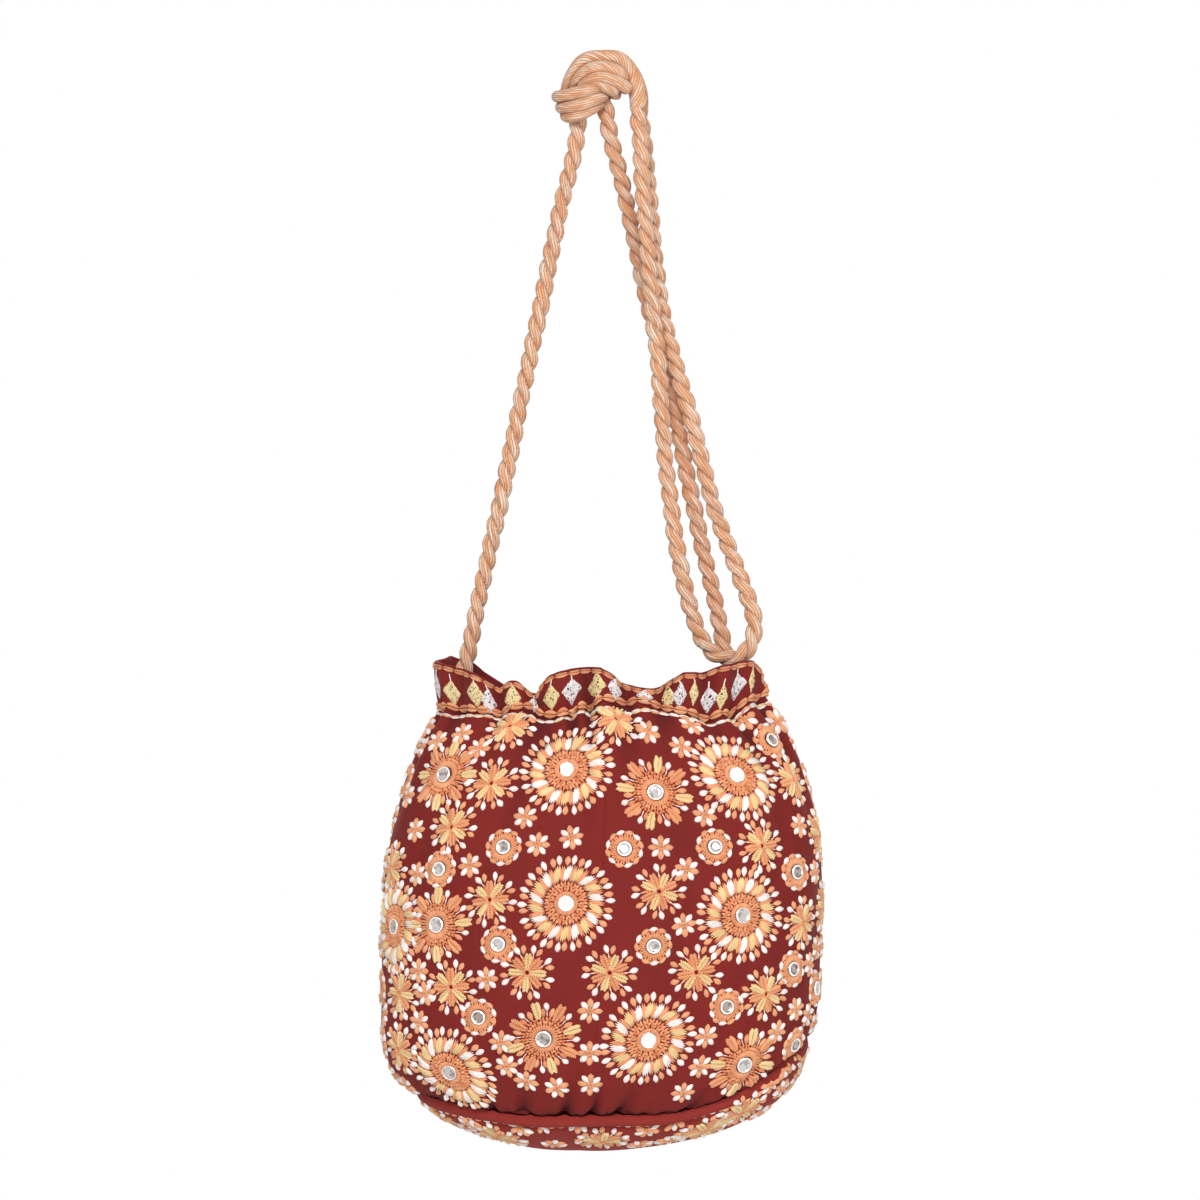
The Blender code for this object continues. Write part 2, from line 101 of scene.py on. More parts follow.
# The frill's rim and its gathered foot, as pixels of the photograph, from the left corner to the
# right one. The back rim is lower, apart from its left end, where the lining shows.
FRONT_RIM_PX = (
    (436, 664), (446, 665), (458, 669), (472, 672), (482, 675), (491, 682), (499, 689), (504, 684),
    (511, 681), (519, 681), (525, 686), (531, 694), (537, 694), (542, 684), (550, 676), (562, 672),
    (582, 668), (600, 668), (611, 673), (622, 683), (636, 687), (652, 689), (661, 688), (668, 681),
    (680, 673), (694, 673), (703, 674), (709, 669), (716, 666), (726, 665), (737, 663), (748, 661),
    (757, 665), (764, 676), (769, 688),
)
BACK_RIM_PX = (
    (436, 662), (452, 658), (470, 664), (486, 674), (502, 687), (522, 697), (560, 692), (600, 697),
    (640, 692), (690, 696), (722, 684), (740, 668), (756, 662), (769, 684),
)
NECK_LINE_PX = (
    (436, 708), (457, 706), (481, 711), (502, 710), (519, 706), (531, 701), (543, 710), (557, 715),
    (571, 709), (586, 702), (605, 698), (621, 696), (638, 700), (662, 703), (676, 710), (695, 713),
    (709, 716), (731, 711), (745, 702), (760, 695), (769, 694),
)

FRILL_CREASES_PX = (460, 499, 534, 588, 627, 664, 705, 735)
FRILL_CREASE_DEPTH = 0.0056
FRILL_CREASE_REACH = 0.0042
FRILL_HUMP = 0.0026

# How far the bag's middle strays to the right on its way down: pixels down, pixels across
BAG_LEAN_PX = (
    (690, 0.5), (710, 2.0), (725, 5.0), (790, 6.0), (850, 4.5), (900, 2.5), (940, 0.0), (1000, 0.0),
    (1030, -2.5), (1060, -5.5), (1100, -3.0), (1132, -6.0), (1150, -9.0),
)

# Where each motif of the embroidery is sewn on the front, as pixels of the photograph
SUNBURSTS_PX = ((566, 768), (565, 903), (648, 1041), (737, 774))
# These sunbursts' mirrors are drawn grey, a painted dim reflection.
DIM_MIRROR_SUNBURSTS_PX = ((743, 916), (449, 1074), (391, 926))
MIRROR_FLOWERS_PX = ((656, 792), (443, 774), (436, 925), (543, 1040), (745, 1066))
MIRROR_RINGS_PX = (
    (502, 847), (624, 849), (715, 847), (438, 869), (497, 944), (654, 946), (478, 1017), (728, 1008),
    (772, 741), (798, 872), (794, 969),
)
STARS_PX = (
    (509, 725), (491, 783), (451, 827), (489, 900), (659, 892), (527, 973), (609, 973), (697, 973),
    (450, 987), (763, 846), (767, 994), (616, 722), (794, 780), (803, 923), (400, 994), (399, 1050),
    (392, 868),
)
DAISIES_PX = (
    (435, 740), (461, 732), (478, 746), (525, 817), (415, 830), (537, 844), (571, 837), (469, 865),
    (414, 874), (648, 734), (681, 747), (747, 716), (705, 814), (661, 847), (687, 869), (801, 826),
    (486, 979), (418, 971), (425, 994), (418, 1023), (499, 1043), (505, 1067), (525, 1084),
    (557, 1089), (590, 1086), (590, 1011), (590, 1054), (685, 925), (707, 1037), (701, 1068),
    (683, 1094), (779, 1032), (812, 964), (797, 1009), (692, 722),
)
# The same for the base panel
BASE_STARS_PX = ((497, 1136), (602, 1141), (705, 1130), (797, 1050), (742, 1112))
BASE_DAISIES_PX = (
    (648, 1132), (540, 1128), (578, 1129), (470, 1126), (675, 1126), (554, 1144), (640, 1144),
    (668, 1140), (772, 1085), (786, 1070), (520, 1130),
)

# The sides and the back, as shares of the way round from the middle of the front
SIDES = ((0.19, 0.31), (0.69, 0.81))
BACK = (0.31, 0.69)

# The embroidery's own sizes, in metres
SUNBURST_RADIUS = 0.0262
FLOWER_RADIUS = 0.0203
RING_RADIUS = 0.0102
STAR_RADIUS = 0.0160
DAISY_RADIUS = 0.0066
PETAL_LEAN = 0.72  # how far a feathered petal's strands lean outwards, in radians
SINK = 0.0003  # a stitch's edge goes this far into the cloth
DIAMOND_HALF = (0.0068, 0.0078)
BACK_DIAMONDS = 17
# The diamonds that show on the front: pixels across and down, share of the full width, colour
DIAMONDS_PX = (
    (438, 684, 0.45, "silver"), (452, 692, 1.0, "gold"), (475, 693, 1.0, "gold"), (488, 702, 0.7, "silver"),
    (512, 696, 0.95, "gold"), (534, 704, 0.5, "silver"), (551, 696, 0.9, "gold"), (572, 686, 1.0, "silver"),
    (597, 680, 0.95, "gold"), (615, 678, 0.75, "silver"), (645, 691, 0.9, "silver"),
    (668, 697, 0.6, "gold"), (680, 694, 0.7, "silver"), (694, 692, 0.5, "gold"), (708, 699, 0.85, "silver"),
    (723, 698, 0.6, "gold"), (736, 684, 0.95, "silver"), (752, 675, 0.45, "gold"),
)
CHAIN_LINK = 0.0078
STRAND_WIDTH = 0.00058  # of a thread's strands
THREAD_GRAIN = (2600.0, 240.0)  # a woven thread's noise, across and along

# The rope
ROPE = 0.0095
ROPE_PLY = 0.00285  # a ply's radius
ROPE_LAY = 0.0205  # the length of one full twist
YARNS = 12
YARN_RELIEF = 0.08
KNOT_YARNS = 17
RIGHT_LEG_SHADE = 0.30  # painted shade: the right leg hangs behind, so it is drawn darker
PLY_GAP = 0.0041  # from the rope's middle line out to the open groove between its plies; nearer the middle, shade is painted
PLY_GAP_FADE = 0.0017
ROPE_STEP = 0.0015  # between two rings of a ply's points
KNOT_STEP = 0.0012
PATH_STEP = 0.004
KNOT_SIDES = 68

LEFT_LEG = (
    (-0.0883, 0.0, -0.3480),
    (-0.0876, 0.0, -0.3380),
    (-0.0836, 0.0, -0.3250),
    (-0.0796, 0.001, -0.3080),
    (-0.0715, 0.0, -0.2684),
    (-0.0605, 0.0, -0.2189),
    (-0.0506, 0.0, -0.1694),
    (-0.0402, 0.0, -0.1199),
    (-0.0303, 0.0, -0.0704),
    (-0.0209, 0.0, -0.0310),
    (-0.0191, 0.0, -0.0165),
    (-0.0176, 0.0, -0.0080),
)
RIGHT_LEG = (
    (0.0751, 0.0, -0.3480),
    (0.0745, 0.0, -0.3380),
    (0.0692, 0.001, -0.3270),
    (0.0622, 0.003, -0.3100),
    (0.0567, 0.004, -0.2820),
    (0.0511, 0.0052, -0.2584),
    (0.0418, 0.0070, -0.2150),
    (0.0368, 0.0085, -0.1900),
    (0.0322, 0.0100, -0.1661),
    (0.0262, 0.0115, -0.1420),
    (0.0198, 0.0118, -0.1178),
    (0.0133, 0.0100, -0.0870),
    (0.0060, 0.0045, -0.0539),
    (-0.0010, 0.0008, -0.0260),
    (-0.0042, 0.0, -0.0098),
    (-0.0058, 0.0010, -0.0015),
)
LOOP = (
    (0.0134, -0.0052, -0.0068),
    (0.0141, -0.0052, -0.0160),
    (0.0150, -0.0052, -0.0264),
    (0.0160, -0.0052, -0.0484),
    (0.0176, -0.0052, -0.0677),
    (0.0191, -0.0052, -0.0869),
    (0.0208, -0.0053, -0.1080),
    (0.0228, -0.0054, -0.1282),
    (0.0253, -0.0055, -0.1540),
    (0.0268, -0.0055, -0.1771),
    (0.0286, -0.0055, -0.2008),
    (0.0314, -0.0056, -0.2244),
    (0.0347, -0.0062, -0.2481),
    (0.0392, -0.0074, -0.2712),
    (0.0456, -0.0094, -0.2940),
    (0.0500, -0.0106, -0.3030),
    (0.0558, -0.0116, -0.3090),
    (0.0632, -0.0120, -0.3116),
    (0.0706, -0.0119, -0.3096),
    (0.0756, -0.0112, -0.3036),
    (0.0775, -0.0100, -0.2955),
    (0.0764, -0.0082, -0.2860),
    (0.0704, -0.0045, -0.2684),
    (0.0619, -0.0012, -0.2464),
    (0.0543, 0.0000, -0.2244),
    (0.0488, 0.0003, -0.2024),
    (0.0432, 0.0010, -0.1804),
    (0.0369, 0.0020, -0.1584),
    (0.0308, 0.0035, -0.1364),
    (0.0262, 0.0046, -0.1144),
    (0.0232, 0.0052, -0.0924),
    (0.0210, 0.0055, -0.0704),
    (0.0192, 0.0055, -0.0484),
    (0.0171, 0.0055, -0.0264),
    (0.0155, 0.0055, -0.0150),
    (0.0146, 0.0055, -0.0068),
)

# The knot's turns, each a loose bundle of yarns: its radius, its twist in radians a metre and its route
KNOT_TURNS = (
    (0.0044, 150.0, (
        (0.0139, -0.0052, -0.0112), (0.0136, -0.0060, -0.0010), (0.0100, -0.0064, 0.0095),
        (0.0035, -0.0066, 0.0172), (-0.0055, -0.0066, 0.0180), (-0.0148, -0.0060, 0.0164),
        (-0.0212, -0.0045, 0.0092), (-0.0248, -0.0010, 0.0010), (-0.0240, 0.0040, -0.0060),
    )),
    (0.0044, 150.0, (
        (0.0148, 0.0055, -0.0112), (0.0142, 0.0060, -0.0010), (0.0106, 0.0060, 0.0095),
        (0.0035, 0.0058, 0.0165), (-0.0050, 0.0056, 0.0180), (-0.0135, 0.0052, 0.0155),
        (-0.0200, 0.0050, 0.0085), (-0.0230, 0.0050, 0.0000),
    )),
    (0.0036, 150.0, (
        (0.0062, -0.0080, 0.0050), (0.0040, -0.0104, 0.0085), (-0.0010, -0.0122, 0.0112),
        (-0.0075, -0.0126, 0.0120), (-0.0140, -0.0112, 0.0104), (-0.0192, -0.0080, 0.0060),
        (-0.0220, -0.0030, 0.0010),
    )),
    (0.0036, 40.0, (
        (0.0092, -0.0070, 0.0002), (0.0048, -0.0108, 0.0030), (-0.0010, -0.0132, 0.0056),
        (-0.0070, -0.0142, 0.0064), (-0.0130, -0.0130, 0.0044), (-0.0178, -0.0095, 0.0000),
    )),
    (0.0030, 170.0, (
        (0.0025, -0.0100, -0.0018), (-0.0030, -0.0134, 0.0010), (-0.0085, -0.0146, 0.0026),
        (-0.0135, -0.0138, 0.0012), (-0.0170, -0.0110, -0.0030),
    )),
    (0.0033, 60.0, (
        (-0.0035, -0.0080, 0.0022), (-0.0110, -0.0146, 0.0006), (-0.0200, -0.0134, -0.0018),
        (-0.0285, -0.0075, -0.0030), (-0.0306, 0.0000, -0.0025), (-0.0270, 0.0080, -0.0010),
        (-0.0170, 0.0125, 0.0010), (-0.0080, 0.0110, 0.0020),
    )),
    (0.0033, 60.0, (
        (-0.0040, -0.0070, -0.0020), (-0.0105, -0.0136, -0.0052), (-0.0185, -0.0136, -0.0086),
        (-0.0258, -0.0078, -0.0092), (-0.0286, 0.0000, -0.0085), (-0.0255, 0.0075, -0.0065),
        (-0.0160, 0.0125, -0.0045), (-0.0070, 0.0110, -0.0030),
    )),
    (0.0033, 80.0, (
        (-0.0062, -0.0062, -0.0058), (-0.0116, -0.0112, -0.0096), (-0.0188, -0.0110, -0.0134),
        (-0.0244, -0.0055, -0.0140), (-0.0258, 0.0010, -0.0125), (-0.0225, 0.0075, -0.0110),
        (-0.0150, 0.0100, -0.0090), (-0.0090, 0.0080, -0.0075),
    )),
    (0.0044, 90.0, (
        (-0.0130, 0.0020, 0.0070), (-0.0080, 0.0014, 0.0040), (-0.0058, 0.0008, 0.0010),
    )),
    (0.0032, 30.0, (
        (0.0030, 0.0020, 0.0070), (0.0016, -0.0010, 0.0020), (0.0004, -0.0030, -0.0044),
    )),
)
KNOT_CORE = ((-0.0150, 0.0, 0.0020), (0.0100, 0.0085, 0.0130))

# Colours, as linear red, green and blue
MAROON = (0.205, 0.0162, 0.0125)
MAROON_SHADE = (0.070, 0.006, 0.008)
MAROON_BASE = (0.262, 0.028, 0.021)
LINING_MAROON = (0.075, 0.008, 0.014)
ORANGE = (0.890, 0.425, 0.210)
ORANGE_DEEP = (0.560, 0.170, 0.060)
RUST = (0.780, 0.290, 0.120)
WHITE = (0.985, 0.950, 0.920)
YELLOW = (0.920, 0.700, 0.370)
SILVER = (0.780, 0.720, 0.720)
GOLD = (0.840, 0.660, 0.330)
ROPE_PALE = (0.980, 0.800, 0.640)
ROPE_LIGHT = (0.900, 0.510, 0.290)
ROPE_MID = (0.800, 0.350, 0.165)
ROPE_DEEP = (0.450, 0.130, 0.045)
MIRROR_WHITE = (0.980, 0.975, 0.960)
# The grey below is a painted dim reflection; the dark one colours mottled patches.
MIRROR_DIM_REFLECTION = (0.400, 0.320, 0.285)
MIRROR_DARK = (0.120, 0.095, 0.090)
SHEEN_RED = (0.9, 0.35, 0.30)
PURE_WHITE = (1.0, 1.0, 1.0)

# The room: the floor's height and corners, the lamps with their size in metres and watts
FLOOR_Z = -0.95
FLOOR_CORNERS = ((-3, -4), (3, -4), (3, 3), (-3, 3))
FLOOR_GREY = (0.85, 0.85, 0.85)
WORLD_LIGHT = 0.38
LAMPS = (
    ("key", (-0.25, -2.4, 0.9), 1.0, 48.0),
    ("fill", (1.0, -2.2, 0.0), 1.4, 15.0),
    ("back", (0.4, 2.0, 0.8), 1.2, 26.0),
)


# Small helpers

def unit(value):
    """The value, kept from 0 to 1."""
    return np.clip(value, 0, 1)


def bell(value, width):
    return np.exp(-((value / width) ** 2))


def running_total(steps):
    return np.concatenate([[0.0], np.cumsum(steps)])


def steps_between(points):
    """The distance from each point to the next."""
    return np.linalg.norm(np.diff(points, axis=0), axis=1)


def link(obj):
    bpy.context.scene.collection.objects.link(obj)
    return obj


# The photograph's frame

def camera_place():
    x = (PHOTO_CENTRE_PX[0] - HANG_PX[0]) * PIXEL
    z = -(PHOTO_CENTRE_PX[1] - HANG_PX[1]) * PIXEL
    return np.array([x, -CAMERA_DISTANCE, z])


def seen_at(points):
    """The photograph's pixels at which points of the object are seen."""
    eye = camera_place()
    scale = CAMERA_DISTANCE / (points[..., 1] - eye[1]) / PIXEL
    across = PHOTO_CENTRE_PX[0] + (points[..., 0] - eye[0]) * scale
    down = PHOTO_CENTRE_PX[1] - (points[..., 2] - eye[2]) * scale
    return across, down


# The bag's surface

def profile():
    """Height, half width, half depth and distance run, from the neck to the lowest point."""
    top = np.linspace(1, 0, 200, endpoint=False)
    bulge = 1 - top**SHOULDER_POWER
    z = [NECK_Z - BELLY_DROP * (1 - top)]
    a = [NECK_HALF_WIDTH + (BELLY_HALF_WIDTH - NECK_HALF_WIDTH) * bulge]
    b = [NECK_HALF_DEPTH + (BELLY_HALF_DEPTH - NECK_HALF_DEPTH) * bulge]
    low = [np.linspace(0, 0.8, 120, endpoint=False), 1 - np.linspace(0.2**0.25, 0, 120) ** 4]
    low = np.concatenate(low)
    size = np.sqrt(1 - low**BOTTOM_POWER)
    z.append(NECK_Z - BELLY_DROP - (BOTTOM_DROP - BELLY_DROP) * low)
    a.append(BELLY_HALF_WIDTH * size)
    b.append(BELLY_HALF_DEPTH * size)
    z, a, b = (np.concatenate(v) for v in (z, a, b))
    step = np.sqrt(np.diff(z) ** 2 + (np.diff(a) ** 2 + np.diff(b) ** 2) / 2)
    return z, a, b, running_total(step)


def oval(half_width, half_depth):
    turned = np.linspace(0, TURN, 1441)
    power = 2 / SECTION_POWER
    sine, cosine = np.sin(turned), np.cos(turned)
    x = half_width * np.sign(sine) * np.abs(sine) ** power
    y = -half_depth * np.sign(cosine) * np.abs(cosine) ** power
    return x, y, running_total(np.hypot(np.diff(x), np.diff(y)))


def smooth_noise(share, run, seed, waves=6):
    """A soft unevenness from -1 to 1 that closes round the bag."""
    draw = np.random.default_rng(seed)
    total = np.zeros(np.broadcast(share, run).shape)
    for _ in range(waves):
        turns = draw.integers(1, 9)
        pitch = draw.uniform(0.05, 0.16)
        start = draw.uniform(0, 6.28)
        total = total + np.cos(TURN * (turns * share + run / pitch) + start)
    return total / waves


class Sheet:
    """A surface known at a grid of points: rows downwards, and columns that close round the bag."""

    def __init__(self, points, rows):
        self.points = points
        self.rows = rows
        self.shade = np.zeros(points.shape[:2])
        around = np.roll(points, -1, axis=1) - np.roll(points, 1, axis=1)
        down = np.gradient(points, axis=0)
        normal = np.cross(down, around)
        self.normals = normal / np.maximum(np.linalg.norm(normal, axis=2, keepdims=True), 1e-12)
        length = np.linalg.norm(np.roll(points, -1, axis=1) - points, axis=2)
        self.round = length.sum(axis=1)

    def look(self, share, row, *grids):
        """What grids of values say at places on the surface."""
        count = self.points.shape[1]
        column = (np.asarray(share) % 1.0) * count
        i = np.floor(column).astype(int)
        fx = column - i
        i, k = i % count, (i + 1) % count
        place = np.interp(row, self.rows, np.arange(len(self.rows)))
        j = np.clip(np.floor(place).astype(int), 0, len(self.rows) - 2)
        fy = place - j
        found = []
        for grid in grids:
            x, y = (fx[..., None], fy[..., None]) if grid.ndim == 3 else (fx, fy)
            upper = grid[j, i] * (1 - x) + grid[j, k] * x
            lower = grid[j + 1, i] * (1 - x) + grid[j + 1, k] * x
            found.append(upper * (1 - y) + lower * y)
        return found

    def at(self, share, row, out=0.0):
        """Points of the surface, out metres off it."""
        points, normals = self.look(share, row, self.points, self.normals)
        return points + normals * np.asarray(out)[..., None]

    def shade_at(self, share, row):
        """The painted shade at each place, from 0 to 1: how deep in a fold it lies."""
        return self.look(share, row, self.shade)[0]


def seam_run(share, z, run):
    """The distance from the neck down to the base seam."""
    side = np.sin(TURN * share)
    rise = SEAM_SIDE_RISE + np.sign(side) * SEAM_TILT
    drop = SEAM_DROP - rise * np.abs(side) ** SEAM_SIDE_POWER
    return np.interp(drop, NECK_Z - z, run)


def line_from_px(points_px, across):
    """The height of a line drawn over the front, at places across."""
    px = np.array(points_px, dtype=float)
    x = AXIS_X + (px[:, 0] - (px[0, 0] + px[-1, 0]) / 2) * PIXEL
    height = -(px[:, 1] - HANG_PX[1]) * PIXEL
    return np.interp(across, x, height)


def across_neck(shares):
    """How far to the right of the bag's axis each share of the neck lies."""
    x, _, run = oval(NECK_HALF_WIDTH, NECK_HALF_DEPTH)
    return np.interp((shares % 1.0) * run[-1], run, x)


def neck_line(shares):
    """How far the neck rises and falls round the bag."""
    return line_from_px(NECK_LINE_PX, across_neck(shares) + AXIS_X) - NECK_Z


def front_half(shares):
    """1 on the front, 0 on the back, with a soft change at the two sides."""
    return unit(0.5 + np.cos(TURN * shares) * 4)


def facing_out(shares, least=0.0):
    """1 on the front and the back, down to the least value at the two sides."""
    return np.clip((np.abs(np.cos(TURN * shares)) - 0.55) / 0.30, least, 1)


def creases(shares):
    """Where the frill is pinched in: 1 in a crease, 0 away from it."""
    place = across_neck(shares)
    middle = (FRONT_RIM_PX[0][0] + FRONT_RIM_PX[-1][0]) / 2
    total = np.zeros_like(place)
    for px in FRILL_CREASES_PX:
        total = total + bell(place - (px - middle) * PIXEL, FRILL_CREASE_REACH)
    behind = 0.35 + 0.35 * np.cos(24 * TURN * shares)
    front = front_half(shares)
    return unit(total * front + behind * (1 - front))


def bag_surface():
    """The bag with its folds and their painted shade, and the distance from the neck to the seam at each
    column.
    """
    z, a, b, run = profile()
    rows = np.concatenate([np.linspace(0, run[-1] - 0.004, 330), [run[-1] - 0.002, run[-1] - 0.0005]])
    plain = np.zeros((len(rows), COLUMNS, 3))
    for j, at in enumerate(rows):
        px, py, length = oval(np.interp(at, run, a), np.interp(at, run, b))
        plain[j, :, 0] = AXIS_X + np.interp(SHARES * length[-1], length, px)
        plain[j, :, 1] = np.interp(SHARES * length[-1], length, py)
        plain[j, :, 2] = np.interp(at, run, z)
    lean = np.array(BAG_LEAN_PX)
    plain[..., 0] += np.interp(-plain[..., 2], (lean[:, 0] - HANG_PX[1]) * PIXEL, lean[:, 1] * PIXEL)
    flat = Sheet(plain, rows)
    s, r = SHARES[None, :], rows[:, None]
    seam = seam_run(SHARES, z, run)
    turn = TURN * s
    phase = 21 * turn + 2.6 * np.sin(3 * turn + 1.0) + 1.7 * np.sin(5 * turn) + 1.2 * np.sin(11 * turn + 2)
    strength = 0.65 + 0.35 * np.cos(4 * turn + 0.6)
    pleat = (0.5 + 0.5 * np.cos(phase)) ** 1.6 * strength
    folds = NECK_PLEAT_DEPTH * pleat * np.exp(-r / (NECK_PLEAT_FADE * (0.55 + 0.9 * strength)))
    folds += 0.6 * FRILL_CREASE_DEPTH * creases(s) * np.exp(-r / 0.011)
    off_seam = np.abs(r - seam)
    above = r < seam
    pucker = 0.5 + 0.5 * np.cos(SEAM_PUCKERS * turn + 3.0 * np.sin(7 * turn) + 2.0 * np.sin(4 * turn))
    folds += SEAM_PUCKER_DEPTH * np.where(above, 1.0, 0.3) * pucker * np.exp(-off_seam / SEAM_PUCKER_FADE)
    slant = turn + 5.0 * (r - seam)
    gather = (0.5 + 0.5 * np.cos(23 * slant + 1.9 * np.sin(4 * turn + 1) + 1.3 * np.sin(9 * turn))) ** 3
    gathers = GATHER_DEPTH * gather * (0.62 + 0.38 * np.cos(3 * turn + 0.4)) * above
    gathers *= np.exp(-((off_seam / GATHER_FADE) ** 1.6))
    folds += gathers
    wander = 1.5 * np.sin(2 * turn) + 14 * r + 1.4 * np.sin(30 * r + 3 * turn)
    hang = (0.5 + 0.5 * np.cos(11 * turn + wander)) ** 4
    folds += HANG_FOLD_DEPTH * hang * unit(r / 0.04) * unit((seam - r) / 0.04)
    folds += SEAM_TUCK * bell(off_seam, SEAM_TUCK_REACH)
    band = (r - seam) / BASE_STRIP
    faces = facing_out(s)
    swell = np.sin(math.pi * unit(band) ** 0.7) ** 0.6 * faces
    low_fold = bell(band - 1.12, 0.22) * (0.75 + 0.25 * np.cos(9 * turn))
    folds += BASE_FOLD_DEPTH * low_fold * (0.2 + 0.8 * faces)
    fade = unit(r / 0.03) * unit((run[-1] - r) / 0.05)
    folds += NECK_DRAW * np.exp(-r / 0.012)
    depth = folds - BASE_SWELL * swell * unit((run[-1] - r) / 0.03)
    depth += BELLY_PULL * unit(r / 0.08) * unit((run[-1] - r) / 0.08)
    depth += 0.0012 * fade * smooth_noise(s, r, 3)
    depth += 0.00030 * fade * smooth_noise(3 * s, 3.5 * r, 5, 9)
    folded = plain - flat.normals * depth[..., None]
    folded[..., 2] += neck_line(s) * np.exp(-r / 0.016)
    surface = Sheet(folded, rows)
    # Painted shade: darker deep in folds, in the neck's pleats, in the gathers and just above the seam;
    # eased at the neck and on gathers away from the seam.
    painted_shade_offset = 0.0012 * above * np.exp(-off_seam / 0.006) - NECK_DRAW * 0.3 * np.exp(-r / 0.012)
    painted_shade_offset = painted_shade_offset - gathers * (1 - np.exp(-off_seam / 0.010))
    dark = 0.7 * pleat**2 * np.exp(-r / 0.018) + 0.7 * gather * above * np.exp(-off_seam / 0.014)
    surface.shade = unit((folds + painted_shade_offset - 0.0008) / 0.0036 + dark)
    return surface, seam, flat


bag, SEAM_RUNS, bag_plain = bag_surface()
TIP_RUN = bag.rows[-1]


def seam_at(share):
    """The distance from the neck to the seam at any share."""
    return np.interp(np.asarray(share) % 1.0, np.append(SHARES, 1.0), np.append(SEAM_RUNS, SEAM_RUNS[0]))


def frill_surface():
    """The frill's outer face, from its rim down to the neck's foot, with painted shade in its creases."""
    foot = bag.points[0]
    place = across_neck(SHARES) + AXIS_X
    front = front_half(SHARES)
    rim = line_from_px(FRONT_RIM_PX, place) * front + line_from_px(BACK_RIM_PX, place) * (1 - front)
    kernel = bell(np.arange(-12, 13), 4.0)
    kernel /= kernel.sum()
    rim = np.convolve(np.concatenate([rim[-12:], rim, rim[:12]]), kernel, mode="valid")
    height = rim - foot[:, 2]
    smooth = bag_plain.points[0]
    around = np.roll(smooth, -8, axis=0) - np.roll(smooth, 8, axis=0)
    outward = np.stack([around[:, 1], -around[:, 0], np.zeros(COLUMNS)], axis=1)
    outward /= np.linalg.norm(outward, axis=1, keepdims=True)
    facing = unit(np.abs(np.cos(TURN * SHARES)) * 1.7) ** 2
    pinch = creases(SHARES)
    swell = (height - 0.0155) * 0.5 * facing - 0.0022 * bell(SHARES - 0.25, 0.05)
    swell = swell + (FRILL_HUMP * (1 - pinch) - FRILL_CREASE_DEPTH * pinch) * facing
    ripple = 0.0007 * np.cos(33 * TURN * SHARES + 2.0 * np.sin(10 * math.pi * SHARES))
    rows = np.linspace(0, 1, 25)
    points = np.zeros((len(rows), COLUMNS, 3))
    for j, up in enumerate(rows):
        out = 0.0010 * math.sin(math.pi * up) + swell * up**0.8 + ripple * up
        home = foot * (1 - up) + smooth * up
        points[j] = home + outward * out[:, None]
        points[j, :, 2] = foot[:, 2] + height * up
    face = Sheet(points[::-1], rows)
    # Painted shade in the frill's creases, strongest on the front and the back.
    face.shade = np.broadcast_to(0.75 * pinch * facing, points.shape[:2])
    return face, height


frill_face, FRILL_HEIGHTS = frill_surface()


def frill_height(share):
    """The frill's height over its foot at any share."""
    return np.interp(share % 1.0, SHARES, FRILL_HEIGHTS)


# Meshes

def add_mesh(name, points, faces, finish, uv=None, tint=None, smooth=True):
    """An object of quads, with a UV and a tint for each point where they are given."""
    mesh = bpy.data.meshes.new(name)
    points = np.asarray(points, dtype=np.float32).reshape(-1, 3)
    corners = np.asarray(faces, dtype=np.int32).ravel()
    mesh.vertices.add(len(points))
    mesh.vertices.foreach_set("co", points.ravel())
    mesh.loops.add(len(corners))
    mesh.loops.foreach_set("vertex_index", corners)
    mesh.polygons.add(len(faces))
    mesh.polygons.foreach_set("loop_start", np.arange(0, len(corners), 4, dtype=np.int32))
    mesh.polygons.foreach_set("use_smooth", np.full(len(faces), smooth))
    mesh.update(calc_edges=True)
    if uv is not None:
        layer = mesh.uv_layers.new(name="uv")
        layer.data.foreach_set("uv", np.asarray(uv, dtype=np.float32).reshape(-1, 2)[corners].ravel())
    if tint is not None:
        layer = mesh.attributes.new("tint", "FLOAT", "POINT")
        layer.data.foreach_set("value", np.asarray(tint, dtype=np.float32).ravel())
    mesh.validate()
    mesh.materials.append(finish)
    return link(bpy.data.objects.new(name, mesh))


def grid_faces(rows, columns, closed=True, flip=False):
    """Quads of a grid of points, row after row."""
    j, i = np.meshgrid(np.arange(rows - 1), np.arange(columns if closed else columns - 1), indexing="ij")
    k = (i + 1) % columns
    upper, lower = j * columns, (j + 1) * columns
    quads = np.stack([upper + i, upper + k, lower + k, lower + i], axis=-1).reshape(-1, 4)
    return quads[:, ::-1] if flip else quads


# Materials

